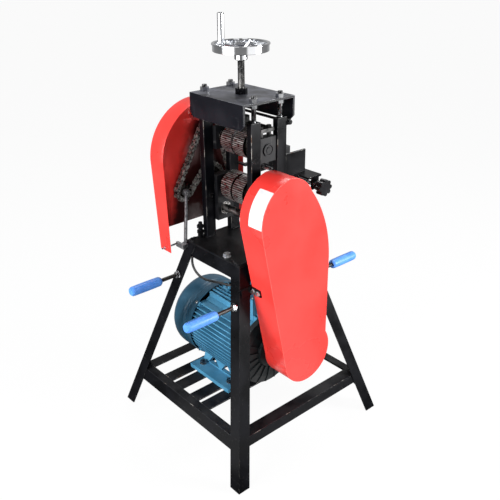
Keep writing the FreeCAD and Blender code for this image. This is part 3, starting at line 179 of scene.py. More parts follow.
# Motor lead: a black rubber-sheathed cable from the terminal box's gland up to the bush in the table.
# It is soft, swings out behind the left legs and comes back under the table plate.
# Rubber is the first finish, so the effects that all finishes share are set up here.
EVEN = (1, 1, 1)
WAVE_SCALE = 7.0                         # waves in thin sheet, to a metre


def effect(name, inputs, outputs):
    """An empty node group with named sockets: its tree, what it takes in, and the node that puts out."""
    tree = bpy.data.node_groups.new(name, "ShaderNodeTree")
    for title, kind, value in inputs:
        socket = tree.interface.new_socket(title, in_out="INPUT", socket_type="NodeSocket" + kind)
        socket.default_value = value
    for title, kind in outputs:
        tree.interface.new_socket(title, in_out="OUTPUT", socket_type="NodeSocket" + kind)
    return tree, tree.nodes.new("NodeGroupInput").outputs, tree.nodes.new("NodeGroupOutput")


def clouds(tree, scale, stretch=EVEN, detail=4.0):
    """Noise over the piece's own coordinates, stretched where the finish runs one way."""
    where = new_node(tree, "TexCoord").outputs["Object"]
    pulled = new_node(tree, "VectorMath", {0: where, 1: stretch}, operation="MULTIPLY").outputs[0]
    return new_node(tree, "TexNoise", {"Vector": pulled, "Scale": scale, "Detail": detail}).outputs["Fac"]


def window(tree, source, low, high):
    """0 below low, 1 above high, smooth between."""
    limits = {"Value": source, "From Min": low, "From Max": high}
    return new_node(tree, "MapRange", limits, interpolation_type="SMOOTHSTEP").outputs["Result"]


def split(tree, direction):
    """The X, Y and Z of a place or a direction."""
    return new_node(tree, "SeparateXYZ", {0: direction}).outputs


def patches(tree, scale, low, high, detail=4.0, stretch=EVEN):
    """A mask of soft patches; scale is how many to a metre, about."""
    return window(tree, clouds(tree, scale, stretch, detail), low, high)


# Uneven tone: the coat or skin is a little darker in some places than in others.
tone, take, give = effect("uneven_tone", (("Dark", "Color", BLACK), ("Light", "Color", WHITE),
                                          ("Scale", "Float", 10.0), ("Stretch", "Vector", EVEN)),
                          (("Color", "Color"), ("Mask", "Float")))
share = patches(tone, take["Scale"], low=0.34, high=0.66, detail=5.0, stretch=take["Stretch"])
feed(give, {"Mask": share, "Color": mixed(tone, share, take["Dark"], take["Light"])})

# Scratches: thin marks in two directions where tools, straps and hands have rubbed.
scratches, take, give = effect("scratches", (("Color", "Color", BLACK), ("Scratch", "Color", WHITE),
                                             ("Amount", "Float", 0.0)), (("Color", "Color"),))
upright_marks = patches(scratches, 30.0, low=0.69, high=0.74, detail=2.0, stretch=(9, 9, 0.6))
slanted_marks = patches(scratches, 26.0, low=0.7, high=0.75, detail=2.0, stretch=(0.7, 8, 8))
either = operation(scratches, "MAXIMUM", upright_marks, slanted_marks)
some = operation(scratches, "MULTIPLY", either, take["Amount"])
feed(give, {"Color": mixed(scratches, some, take["Color"], take["Scratch"])})

# Settled dust: a pale film on faces that look up, thicker in some patches. On the cover's top it is heavy and bluish,
# and is a painted sheen as well as dust.
DUST_FILM, DUST_DULLING = (0.34, 0.34, 0.35), 0.6
dust_and_sheen, take, give = effect("settled_dust_and_sheen", (("Color", "Color", BLACK), ("Roughness", "Float", 0.5),
                                           ("Amount", "Float", 0.0), ("Film", "Color", (*DUST_FILM, 1))),
                          (("Color", "Color"), ("Roughness", "Float")))
height = split(dust_and_sheen, new_node(dust_and_sheen, "NewGeometry").outputs["Normal"])["Z"]
facing_up = window(dust_and_sheen, height, low=0.3, high=0.95)
dust_and_sheen_patches = operation(dust_and_sheen, "MULTIPLY", facing_up, patches(dust_and_sheen, 22.0, low=0.25, high=0.75, detail=6.0))
film = operation(dust_and_sheen, "MULTIPLY", dust_and_sheen_patches, take["Amount"])
dulled = operation(dust_and_sheen, "ADD", take["Roughness"], operation(dust_and_sheen, "MULTIPLY", film, DUST_DULLING))
feed(give, {"Color": mixed(dust_and_sheen, film, take["Color"], take["Film"]), "Roughness": dulled})

# Fine grain: the height of orange peel in paint, of sand in a casting or of tool lines in steel.
grain, take, give = effect("fine_grain", (("Scale", "Float", 400.0), ("Stretch", "Vector", EVEN)),
                           (("Height", "Float"),))
feed(give, {"Height": clouds(grain, take["Scale"], take["Stretch"], detail=3.0)})


def placed(tree, group, **values):
    """What one use of an effect puts out in a material, with its own values."""
    for title in values.keys() & {"Dark", "Light", "Scratch", "Film"}:
        values[title] = (*values[title], 1)
    return new_node(tree, "Group", values, node_tree=group).outputs


def finish(name, dark, light, roughness, metallic=0.0, specular=0.5, coat=0.0, patch=14.0, stretch=EVEN,
           scratched=0.0, scratch=(0.3, 0.3, 0.3), dust_and_sheen_share=0.0, film=DUST_FILM,
           grain_scale=500.0, grain_depth=0.0001, waves=0.0):
    """A finish of one kind: its two tones with the roughness of each, its scratches, dust and skin.
    Patches and grain are given per metre, the grain's depth and the sheet's waves in metres."""
    material, tree, shader = graph(name)
    tones = placed(tree, tone, Dark=dark, Light=light, Scale=patch, Stretch=stretch)
    marks = placed(tree, scratches, Color=tones["Color"], Scratch=scratch, Amount=scratched)
    gloss = operation(tree, "MULTIPLY_ADD", tones["Mask"], roughness[1] - roughness[0], roughness[0])
    with_dust_and_sheen = placed(tree, dust_and_sheen, Color=marks["Color"], Roughness=gloss, Amount=dust_and_sheen_share, Film=film)
    skin = placed(tree, grain, Scale=grain_scale, Stretch=stretch)
    relief = new_node(tree, "Bump", {"Strength": 0.5, "Distance": grain_depth, "Height": skin["Height"]})
    if waves:
        swell = placed(tree, grain, Scale=WAVE_SCALE, Stretch=EVEN)
        wavy = new_node(tree, "Bump", {"Strength": 1.0, "Distance": waves, "Height": swell["Height"]})
        feed(relief, {"Normal": wavy.outputs[0]})
    feed(shader, {"Metallic": metallic, "Specular IOR Level": specular, "Coat Weight": coat, "Coat Roughness": 0.12,
                  "Base Color": with_dust_and_sheen["Color"], "Roughness": with_dust_and_sheen["Roughness"], "Normal": relief.outputs[0]})
    return material


def dress(material, *names):
    """Give CAD nodes a finish."""
    for name in names:
        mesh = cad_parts[name].data
        mesh.materials.clear()
        mesh.materials.append(material)


def piece(name, build, material, body, smooth=40.0):
    """A new mesh piece that rides on a body, or stands on its own when there is none; faces at less than an angle are
    shaded smooth.
    """
    mesh = bpy.data.meshes.new(name)
    work = bmesh.new()
    build(work)
    bmesh.ops.recalc_face_normals(work, faces=work.faces)
    for edge in work.edges:
        edge.smooth = len(edge.link_faces) == 2 and edge.calc_face_angle(0) < math.radians(smooth)
    for face in work.faces:
        face.smooth = True
    work.to_mesh(mesh)
    work.free()
    mesh.materials.append(material)
    thing = bpy.data.objects.new(name, mesh)
    bpy.context.collection.objects.link(thing)
    if body:
        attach(thing, body)
    return thing


MM = 0.001
CABLE_RADIUS = 4.2 * MM
cable_rubber = finish("cable_rubber", (0.01, 0.01, 0.011), (0.022, 0.022, 0.023), (0.42, 0.6), specular=0.4,
                      dust_and_sheen_share=0.15, patch=60.0)
route = [(-31, 0, 428), (-62, 0, 428), (-91, -20, 431), (-128, -29, 428), (-166, -37, 422), (-204, -42, 426)]
route += [(-235, -43, 449), (-246, -37, 483), (-229, -25, 517), (-197, -14, 537), (-157, -5, 541)]
route += [(-116, 4, 531), (-75, 10, 528), (-42, 14, 556), (-42, 14, 600)]
lead_curve = bpy.data.curves.new("motor_cable", "CURVE")
lead_curve.dimensions = "3D"
lead_curve.bevel_depth, lead_curve.bevel_resolution, lead_curve.resolution_u = CABLE_RADIUS, 6, 12
spline = lead_curve.splines.new("NURBS")
spline.points.add(len(route) - 1)
for point, (x, y, z) in zip(spline.points, route):
    point.co = (x * MM, y * MM, z * MM, 1)
spline.order_u = 3
spline.use_endpoint_u = True
lead = bpy.data.objects.new("motor_cable", lead_curve)
lead_curve.materials.append(cable_rubber)
bpy.context.collection.objects.link(lead)
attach(lead, "root")
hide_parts("motor_lead")

# Stand: four splayed legs of angle iron with a ring of rails near the floor and one under the table.
# The iron is sprayed gloss black after welding; the paint is rubbed thin along its corners.
BREAK_ANGLE = math.radians(50)           # corners sharper than this are rounded
SAME_PLACE, SAME_PLANE = 0.00002, math.radians(0.5)
black_paint = finish("black_paint", (0.0014, 0.0015, 0.0022), (0.0027, 0.0029, 0.0046), (0.26, 0.42), specular=0.14,
                     scratched=0.3, scratch=(0.06, 0.058, 0.055), dust_and_sheen_share=0.05, grain_scale=260.0, grain_depth=0.00012)


def edge_wear_and_highlight(name, paint, metal, amount, rust=(0.11, 0.045, 0.02)):
    """The coat along a corner: paint, bare metal and a little rust in turn; more amount bares more metal. On the red
    guards all three are light reds, a painted highlight along the edges.
    """
    material, tree, shader = graph(name)
    bare = patches(tree, 30.0, low=0.62 - amount * 0.4, high=0.72 - amount * 0.4, detail=6.0)
    under = mixed(tree, patches(tree, 75.0, low=0.52, high=0.62), metal, rust)
    feed(shader, {"Base Color": mixed(tree, bare, paint, under), "Specular IOR Level": 0.4,
                  "Roughness": operation(tree, "MULTIPLY_ADD", bare, 0.12, 0.3),
                  "Metallic": operation(tree, "MULTIPLY", bare, 0.6)})
    return material


def soften(paint, edge, *names, width):
    """Round a node's corners a little, and give the rounded strips the edge finish: worn, and on the red guards a
    painted highlight.
    """
    for name in names:
        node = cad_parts[name]
        dress(paint, name)
        node.data.materials.append(edge)
        joined = node.modifiers.new("joined", "WELD")
        joined.merge_threshold = SAME_PLACE
        plain = node.modifiers.new("plain_faces", "DECIMATE")
        plain.decimate_type, plain.angle_limit = "DISSOLVE", SAME_PLANE
        corners = node.modifiers.new("rounded_corners", "BEVEL")
        corners.width, corners.segments = width, 2
        corners.limit_method, corners.angle_limit = "ANGLE", BREAK_ANGLE
        corners.material = 1
        corners.harden_normals = True


black_edge = edge_wear_and_highlight("black_paint_worn_edge", (0.016, 0.017, 0.02), (0.3, 0.29, 0.27), amount=0.22)
soften(black_paint, black_edge, "leg_front_left", "leg_front_right", "leg_rear_left", "leg_rear_right",
       "top_rails", "lower_rails", "motor_slats", width=0.0011)
dress(finish("table_black", (0.0026, 0.0026, 0.0032), (0.006, 0.006, 0.007), (0.3, 0.55), specular=0.2,
             scratched=0.5, scratch=(0.04, 0.04, 0.04), dust_and_sheen_share=0.03), "table_plate")

# Weld runs on the stand: where rails meet legs and the table's front corners are closed.
# They are laid by hand in short scalloped beads and painted over with the rest of the stand.
FOOT_HALF, ANGLE_LEG, ANGLE_WALL = 0.303, 0.04, 0.004
LEAN_X, LEAN_Y = 0.178 / 0.61, 0.166 / 0.61       # how far a leg leans in for each unit of height
RAIL_TOPS, RAIL_DEPTH = (0.606, 0.136), 0.03
TABLE_TOP = 0.6165
EDGE_RUN = ((0.094, -0.1335), (0.119, -0.1335), 0.0048, 0.0075)        # X and Y of both ends, radius, scallop
SIDE_RUN = ((0.1205, -0.13), (0.1205, -0.106), 0.0042, 0.007)
BEAD_SIDES, BEAD_RINGS, BEAD_DEPTH = 8, 3, 0.16   # points round a bead, rings to a scallop, and its share of depth
BEAD_END, BEAD_GROWTH = 0.35, 6          # a run starts at this share of its size, and this fast it grows
WOBBLE, WOBBLE_RATE = 0.15, 19
BOTH = (-1, 1)
CORNERS = [(x, y) for x in BOTH for y in BOTH]


def square_to(axis):
    """Two directions square to an axis and to each other."""
    side = axis.orthogonal().normalized()
    return side, axis.normalized().cross(side)


def ring(work, centre, reaches, side, other):
    """Points evenly round a centre in the plane of two directions, each at its own reach."""
    turns = (math.tau * n / len(reaches) for n in range(len(reaches)))
    return [work.verts.new(centre + reach * (math.cos(a) * side + math.sin(a) * other))
            for reach, a in zip(reaches, turns)]


def skinned(work, rings):
    """Faces from each ring to the next, and across both ends."""
    for low, high in zip(rings, rings[1:]):
        for n in range(len(low)):
            work.faces.new((low[n - 1], low[n], high[n], high[n - 1]))
    work.faces.new(rings[0])
    work.faces.new(reversed(rings[-1]))


def weld_run(work, start, end, radius=0.0028, scallop=0.004):
    """A tube of overlapping scallops from start to end, closed at both ends."""
    start, end = Vector(start), Vector(end)
    along = end - start
    count = max(3, round(along.length / scallop))
    side, other = square_to(along)
    rings = []
    for k in range(BEAD_RINGS * count + 1):
        share = k / (BEAD_RINGS * count)
        swell = radius * (1 - BEAD_DEPTH + BEAD_DEPTH * math.cos(math.tau * count * share))
        swell *= min(1.0, BEAD_END + BEAD_GROWTH * share, BEAD_END + BEAD_GROWTH * (1 - share))
        middle = start + along * share + side * radius * WOBBLE * math.sin(WOBBLE_RATE * share)
        rings.append(ring(work, middle, [swell] * BEAD_SIDES, side, other))
    skinned(work, rings)


def stand_welds(work):
    """A run down each rail's end, on both faces of every leg."""
    for rail_top in RAIL_TOPS:
        for side_x, side_y in CORNERS:
            for in_x, in_y in ((ANGLE_LEG, ANGLE_WALL), (ANGLE_WALL, ANGLE_LEG)):
                weld_run(work, *((side_x * (FOOT_HALF - LEAN_X * z - in_x), side_y * (FOOT_HALF - LEAN_Y * z - in_y), z)
                                 for z in (rail_top, rail_top - RAIL_DEPTH)))


def table_corner_welds(work):
    """Two heavy runs that close each front corner of the table."""
    for side in BOTH:
        for (x0, y0), (x1, y1), radius, scallop in (EDGE_RUN, SIDE_RUN):
            weld_run(work, (side * x0, y0, TABLE_TOP), (side * x1, y1, TABLE_TOP), radius, scallop)


piece("stand_weld_runs", stand_welds, black_paint, "root")
piece("table_corner_welds", table_corner_welds, black_paint, "root")

# Carrying handles: round rods screwed through the legs and locked by plated nuts and washers.
# Each has a blue vinyl sleeve, dipped and slightly glossy.
HANDLE_X, HANDLE_Z = 0.138, 0.502
SLEEVE_START, SLEEVE_END = 0.236, 0.343  # how far out each sleeve begins and ends
SLEEVE_RADIUS, SLEEVE_SWELL = 0.0152, 0.04
SLEEVE_DOME, DOME_PART = 0.22, 12        # its ends round in by this share, over a twelfth of its length each
ROD_RADIUS, ROD_END = 0.0066, 0.336
NUTS_WITHIN = 0.1795                     # the nuts and washers lie nearer to the middle than this, the bare rod beyond
blue_sleeve = finish("blue_sleeve", (0.095, 0.31, 0.9), (0.125, 0.37, 0.96), (0.33, 0.45), specular=0.4,
                     scratched=0.15, scratch=(0.2, 0.42, 0.95), patch=30.0)


def turned(work, profile, base, axis, around=96):
    """A shape swept round an axis; the profile is (distance along the axis, radius), and closes on itself
    unless it starts and ends on the axis."""
    axis = Vector(axis)
    side, other = square_to(axis)
    rings = [ring(work, Vector(base) + axis * reach, [radius] * (around if radius > 0 else 1), side, other)
             for reach, radius in profile]
    pairs = list(zip(rings, rings[1:]))
    if len(rings[0]) > 1:
        pairs.append((rings[-1], rings[0]))
    for low, high in pairs:
        for n in range(around):
            m = (n + 1) % around
            if len(low) == 1:
                work.faces.new((low[0], high[m], high[n]))
            elif len(high) == 1:
                work.faces.new((low[n], low[m], high[0]))
            else:
                work.faces.new((low[n], low[m], high[m], high[n]))


def sleeves(work):
    """Four dipped sleeves, closed and rounded at the far end, a little fuller in the middle."""
    length, bore_length, steps = SLEEVE_END - SLEEVE_START, ROD_END - SLEEVE_START, 24
    outer = []
    for n in range(steps + 1):
        share = n / steps
        corner = min(1.0, DOME_PART * share, DOME_PART * (1 - share))
        swell = 1 - SLEEVE_SWELL + SLEEVE_SWELL * math.sin(math.pi * share)
        dome = 1 - SLEEVE_DOME + SLEEVE_DOME * math.sqrt(1 - (1 - corner) ** 2)
        outer.append((length * share, SLEEVE_RADIUS * swell * dome))
    profile = [(bore_length, 0.0), (bore_length, ROD_RADIUS), (0.0, ROD_RADIUS)] + outer + [(length, 0.0)]
    for side_x, side_y in CORNERS:
        turned(work, profile, (side_x * HANDLE_X, side_y * SLEEVE_START, HANDLE_Z), (0, side_y, 0), around=40)


grips = piece("dipped_sleeves", sleeves, blue_sleeve, "root")
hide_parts("handle_grips")
plated = finish("zinc_plate", (0.52, 0.53, 0.55), (0.8, 0.81, 0.83), (0.26, 0.42), metallic=1.0, patch=70.0,
                grain_scale=900.0, grain_depth=0.00005)
rod_black, tree, shader = graph("rod_black_with_plated_nuts")
off_middle = operation(tree, "ABSOLUTE", split(tree, new_node(tree, "TexCoord").outputs["Object"])["Y"])
at_nut = operation(tree, "LESS_THAN", off_middle, NUTS_WITHIN)
patchy = patches(tree, 90.0, low=0.3, high=0.7)
rod_tone = mixed(tree, patchy, (0.012, 0.011, 0.01), (0.03, 0.027, 0.024))
nut_tone = mixed(tree, patchy, (0.5, 0.51, 0.53), (0.8, 0.81, 0.83))
feed(shader, {"Base Color": mixed(tree, at_nut, rod_tone, nut_tone), "Metallic": at_nut, "Specular IOR Level": 0.4,
              "Roughness": operation(tree, "MULTIPLY_ADD", at_nut, -0.15, 0.38)})
dress(rod_black, "handle_rods")

# Motor: a cast-iron frame size 132 machine with flat cooling fins, on feet bolted to the slats.
# It is sprayed blue-green at the works; its bolts are plated.
MOTOR_Z = 0.272
teal_paint = finish("teal_paint", (0.06, 0.23, 0.38), (0.085, 0.3, 0.48), (0.3, 0.46), specular=0.34,
                    scratched=0.2, scratch=(0.12, 0.24, 0.32), dust_and_sheen_share=0.05, grain_scale=300.0, grain_depth=0.00025)
dress(teal_paint, "motor_housing", "terminal_box", "lifting_eye")
dress(finish("foot_bolt_steel", (0.035, 0.035, 0.037), (0.34, 0.34, 0.35), (0.2, 0.36), metallic=0.95, patch=170.0),
      "motor_foot_bolts")

# Fan cowl: a bell of spun sheet over the motor's left end, open at the back behind a grille of wire rings.
# It is sprayed with the motor and has gone darker; the fan in it is moulded plastic.
COWL_MOUTH, GRILLE = (-0.146, 0, MOTOR_Z), (-0.2788, 0, MOTOR_Z)
WIRE_RADIUS, WIRE_RINGS = 0.0014, (0.036, 0.045, 0.054, 0.063, 0.0715)
BAR_COUNT, BAR_THICK, BAR_WIDE, BAR_INNER, BAR_OUTER = 12, 0.0016, 0.004, 0.028, 0.0735
cowl_paint = finish("cowl_paint", (0.014, 0.06, 0.105), (0.022, 0.084, 0.14), (0.28, 0.42), specular=0.3,
                    scratched=0.3, scratch=(0.12, 0.18, 0.22), dust_and_sheen_share=0.16, film=(0.18, 0.25, 0.33),
                    grain_scale=300.0, grain_depth=0.0002)


def prism(work, near, far):
    """A solid between two outlines with the same number of points."""
    near, far = ([work.verts.new(point) for point in outline] for outline in (near, far))
    skinned(work, (near, far))


def swung(centre, reach, angle):
    """The point at a reach from a centre in one direction."""
    return centre[0] + reach * math.cos(angle), centre[1] + reach * math.sin(angle)


def disc(centre, radius, sides):
    """A round outline."""
    return [swung(centre, radius, math.tau * n / sides) for n in range(sides)]


def cowl_shell(work):
    """The cowl's spun skin in mm: a rolled band at its mouth, a groove, a straight wall and a rounded back."""
    outer = [(0.0, 130.0), (0.8, 131.0), (17, 131.0), (20, 130.2), (23, 127.6), (27, 125.4), (31, 125.0), (35, 126.0)]
    outer += [(39, 128.4), (43, 130.4), (48, 131.0), (76, 130.8), (84, 130.0), (92, 127.6), (102, 122.4)]
    outer += [(112, 113.6), (122, 101.0), (129, 89.0), (132.6, 81.0), (134, 75.0)]
    inner = [(reach - 1.8 if reach > 80 else reach, radius - 2.0) for reach, radius in outer[:-1]]
    profile = outer + [(134, 72.0), (131.8, 72.0)] + inner[:0:-1] + [(0.0, 128.4)]
    turned(work, [(reach * MM, radius * MM) for reach, radius in profile], COWL_MOUTH, (-1, 0, 0))


def fan_cowl(work):
    """The skin, and rings of wire over the fan that bars hold to a pressed boss in the middle."""
    cowl_shell(work)
    for radius in WIRE_RINGS:
        turned(work, disc((0, radius), WIRE_RADIUS, 8), GRILLE, (-1, 0, 0), around=64)
    boss = [(-0.0012, 0), (-0.0012, 0.03), (0.0004, 0.03), (0.0012, 0.027), (0.0012, 0)]
    turned(work, boss, GRILLE, (-1, 0, 0), around=48)
    for k in range(BAR_COUNT):
        turn = Matrix.Translation(GRILLE) @ Matrix.Rotation(math.tau * k / BAR_COUNT, 4, "X")
        prism(work, *([turn @ Vector((side_x * BAR_THICK / 2, side_y * BAR_WIDE / 2, z)) for side_y, z in
                       ((-1, BAR_INNER), (1, BAR_INNER), (1, BAR_OUTER), (-1, BAR_OUTER))] for side_x in BOTH))


cowl = piece("spun_fan_cowl", fan_cowl, cowl_paint, "root", smooth=35)
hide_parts("motor_fan_cowl")
dress(finish("fan_plastic", (0.012, 0.012, 0.013), (0.02, 0.02, 0.021), (0.45, 0.6), dust_and_sheen_share=0.3), "motor_fan")

# End shield: a cast-iron cover over the motor's bearing, with ribs from its hub to its rim.
# It is coloured near black, a painted shade for the guard's shadow over it.
SHIELD_RIBS, RIB_HALF = 20, 0.0022
shield_painted_shade = finish("shield_painted_shade", (0.004, 0.006, 0.007), (0.0105, 0.015, 0.017), (0.36, 0.55), specular=0.3,
                     grain_scale=240.0, grain_depth=0.0003, dust_and_sheen_share=0.05)
dress(shield_painted_shade, "motor_end_shield")


def shield_ribs(work):
    """Radial ribs that stand on the shield's cone and taper to its rim."""
    outline = [(0.1095, 0.06), (0.1165, 0.06), (0.1135, 0.094), (0.1065, 0.1205), (0.1, 0.1205), (0.106, 0.098)]
    for k in range(SHIELD_RIBS):
        turn = Matrix.Translation((0, 0, MOTOR_Z)) @ Matrix.Rotation(math.tau * (k + 0.5) / SHIELD_RIBS, 4, "X")
        prism(work, *([turn @ Vector((x, y, z)) for x, z in outline] for y in (-RIB_HALF, RIB_HALF)))


piece("end_shield_ribs", shield_ribs, shield_painted_shade, "root")

# Motor screws: plated pan heads that hold the cowl's band, the end shield and the terminal box's lid.
# Four sit on the band, four on the shield and four on the lid.
HEAD_PROFILE = ((1.0, -0.1), (1.0, 0.45), (0.86, 0.8), (0.55, 1.0), (0.3, 1.0), (0.24, 0.7))
BAND_X, BAND_REACH = -0.154, 0.1308
SHIELD_X, SHIELD_REACH = 0.0905, 0.112
LID_X, LID_Y, LID_Z = (-0.01, 0.07), (-0.04, 0.04), 0.453


def pan_head(work, base, out, radius, height):
    """A low domed screw head on a face, with a slot ring round its top."""
    base, out = Vector(base), Vector(out).normalized()
    side, other = square_to(out)
    skinned(work, [ring(work, base + out * height * rise, [radius * reach] * 12, side, other)
                   for reach, rise in HEAD_PROFILE])


def motor_screws(work):
    """The heads on the band, on the shield and on the lid."""
    for corner in (45, 135, 225, 315):
        y, z = swung((0, 0), 1, math.radians(corner))
        pan_head(work, (BAND_X, BAND_REACH * y, MOTOR_Z + BAND_REACH * z), (0, y, z), radius=0.0052, height=0.003)
        pan_head(work, (SHIELD_X, SHIELD_REACH * y, MOTOR_Z + SHIELD_REACH * z), (1, 0, 0), radius=0.0075, height=0.006)
    for x in LID_X:
        for y in LID_Y:
            pan_head(work, (x, y, LID_Z), (0, 0, 1), radius=0.0042, height=0.0026)


piece("motor_cover_screws", motor_screws, plated, "root")

# Head: four solid posts welded to the table, a folded channel cover over them, a tie rod behind.
# The posts are painted with the stand; the cover's paint has a pale bluish film on top, dust and a painted sheen in
# one, and is worn along its edges.
POST_NEAR, POST_FAR = 0.095, 0.115       # the posts' sides, from the middle
POST_DEPTHS = ((-0.08, -0.046), (0.016, 0.05))
GUIDE_WELD_X, GUIDE_WELD_Y, GUIDE_WELD_Z = (0.097, 0.103), 0.0505, ((0.832, 0.86), (0.872, 0.897))
POST_WELD, GUIDE_WELD = 0.0026, 0.0022   # how thick the runs are
soften(black_paint, black_edge, "head_posts", "rear_tie_bar", "guide_side_plate", "guide_shelf", width=0.0011)
# Painted sheen: the cover's heavy bluish film on faces that look up stands for the sheen on its top as well as for
# dust.
cover_paint_with_sheen = finish("cover_paint_with_sheen", (0.0032, 0.0036, 0.0066), (0.0056, 0.0063, 0.0102), (0.3, 0.44), specular=0.24,
                     scratched=0.35, scratch=(0.1, 0.1, 0.11), dust_and_sheen_share=0.46, film=(0.36, 0.37, 0.44),
                     grain_scale=240.0, grain_depth=0.00012)
cover_edge = edge_wear_and_highlight("cover_worn_edge", (0.17, 0.19, 0.23), (0.58, 0.6, 0.63), amount=0.55, rust=(0.3, 0.29, 0.29))
soften(cover_paint_with_sheen, cover_edge, "top_cover", width=0.0013)


def head_welds(work):
    """A run along each side of every post's foot, and short ones that hold the guide's side plate."""
    for side in BOTH:
        near, far = side * POST_NEAR, side * POST_FAR
        for low_y, high_y in POST_DEPTHS:
            for start, end in (((near, low_y), (far, low_y)), ((near, high_y), (far, high_y)),
                               ((far, low_y), (far, high_y)), ((near, low_y), (near, high_y))):
                weld_run(work, (*start, TABLE_TOP), (*end, TABLE_TOP), POST_WELD)
    for x in GUIDE_WELD_X:
        for low_z, high_z in GUIDE_WELD_Z:
            weld_run(work, (x, GUIDE_WELD_Y, low_z), (x, GUIDE_WELD_Y, high_z), GUIDE_WELD)


piece("head_weld_runs", head_welds, black_paint, "root")

# Fasteners of the head: threaded studs in the posts' tops clamp the cover between two plated nuts each.
# The nut that the press screw turns in, and the loose bolt on the table, are black.
STUD_X, STUD_Y = (-0.105, 0.105), (-0.063, 0.033)
STUD_BASE, STUD_TOP = (corner.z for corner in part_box("cover_studs"))


def partly_black(name, middle, reach, roughness):
    """Bright plating, but black oxide on the fasteners that stand within a distance of one place."""
    material, tree, shader = graph(name)
    where = new_node(tree, "TexCoord").outputs["Object"]
    gap = new_node(tree, "VectorMath", {0: where, 1: middle}, operation="DISTANCE").outputs["Value"]
    patchy = patches(tree, 90.0, low=0.3, high=0.7)
    bright = mixed(tree, patchy, (0.78, 0.79, 0.82), (0.96, 0.97, 0.98))
    colour = mixed(tree, operation(tree, "LESS_THAN", gap, reach), bright, (0.04, 0.04, 0.044))
    feed(shader, {"Base Color": colour, "Roughness": operation(tree, "MULTIPLY_ADD", patchy, 0.12, roughness),
                  "Metallic": 1.0})
    return material


def threaded_rod(work, base, length, radius, pitch, depth, plain):
    """An upright rod with a cut thread between two plain ends; the crest keeps the rod's radius."""
    around, steps = 28, 4
    axis = Vector((0, 0, 1))
    side, other = square_to(axis)
    low_end, high_end = plain[0], length - plain[1]
    count = round((high_end - low_end) / pitch) * steps
    heights = [0.0, *(low_end + (high_end - low_end) * k / count for k in range(count)), high_end, length]
    rings = []
    for height in heights:
        reaches = [radius] * around
        if low_end < height < high_end:
            reaches = [radius - depth * abs(2 * ((height / pitch - n / around) % 1.0) - 1) for n in range(around)]
        rings.append(ring(work, Vector(base) + axis * height, reaches, side, other))
    skinned(work, rings)


def stud_rods(work):
    """A stud on each post."""
    for x in STUD_X:
        for y in STUD_Y:
            threaded_rod(work, (x, y, STUD_BASE), STUD_TOP - STUD_BASE, radius=0.007, pitch=0.002, depth=0.0009,
                         plain=(0.002, 0.002))


dress(partly_black("cover_nut_steel", middle=(0, -0.015, 1.074), reach=0.035, roughness=0.08), "cover_nuts")
dress(partly_black("loose_bolt_steel", middle=(-0.113, -0.093, 0.642), reach=0.045, roughness=0.28), "frame_fasteners")
stud_steel = finish("stud_steel", (0.045, 0.045, 0.047), (0.19, 0.19, 0.195), (0.2, 0.34), metallic=1.0, patch=80.0)
studs = piece("threaded_cover_studs", stud_rods, stud_steel, "root", smooth=25)
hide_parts("cover_studs")

# Bearing blocks: sawn steel blocks between the posts, bored for ball bearings, painted black.
# The lower pair is fixed; the upper pair slides with the pressure beam.
block_paint = finish("block_paint", (0.0045, 0.0047, 0.0058), (0.01, 0.0102, 0.012), (0.3, 0.48), specular=0.3,
                     scratched=0.45, scratch=(0.1, 0.095, 0.09), dust_and_sheen_share=0.1, grain_scale=200.0, grain_depth=0.0002)
dress(block_paint, "lower_bearing_blocks", "upper_bearing_blocks")
dress(finish("race_steel", (0.16, 0.155, 0.15), (0.38, 0.37, 0.36), (0.2, 0.36), metallic=1.0, patch=80.0),
      "lower_bearings", "upper_bearings")

# Pressure beam: a flat bar on four spacers, left as it was machined, with its bolts on top.
# The screw pushes on the collar in its middle.
dress(finish("beam_steel", (0.012, 0.012, 0.013), (0.075, 0.074, 0.073), (0.24, 0.42), metallic=0.8, patch=40.0,
             stretch=(0.3, 1, 1), dust_and_sheen_share=0.1), "pressure_beam")

# Rollers: turned steel with two bands of straight teeth, dark with oil and bright on the tips.
# The disc between the upper bands is hardened and ground, and cuts the cable's sheath.
HEAD_Y = -0.015
LOWER_AXIS, LOWER_REACH = 0.787, 0.045   # the rollers are turned to these radii before the teeth are cut
UPPER_AXIS, UPPER_REACH = 0.929, 0.04
TOOTH_DEPTH = 0.0016


def roller_finish(name, axis_z, reach):
    """Toothed steel: black with grease between the teeth, rubbed bright on their tips."""
    material = finish(name, (0.42, 0.41, 0.4), (0.62, 0.61, 0.6), (0.26, 0.4), metallic=1.0, patch=180.0,
                      stretch=(0.3, 1, 1), grain_scale=600.0)
    tree = material.node_tree
    shader = tree.nodes["Principled BSDF"]
    worn = shader.inputs["Base Color"].links[0].from_socket
    off_axis = {0: new_node(tree, "TexCoord").outputs["Object"], 1: (0, 1, 1), 2: (0, -HEAD_Y, -axis_z)}
    flat = new_node(tree, "VectorMath", off_axis, operation="MULTIPLY_ADD")
    length = new_node(tree, "VectorMath", {0: flat.outputs[0]}, operation="LENGTH")
    tips = window(tree, length.outputs["Value"], low=reach - 0.6 * TOOTH_DEPTH, high=reach - 0.1 * TOOTH_DEPTH)
    feed(shader, {"Base Color": mixed(tree, tips, (0.012, 0.011, 0.01), worn)})
    return material


dress(roller_finish("lower_roller_steel", LOWER_AXIS, LOWER_REACH), "lower_roller")
dress(roller_finish("upper_roller_steel", UPPER_AXIS, UPPER_REACH), "upper_roller")
dress(finish("ground_steel", (0.45, 0.45, 0.45), (0.62, 0.62, 0.62), (0.14, 0.24), metallic=1.0, patch=60.0),
      "cutting_disc")

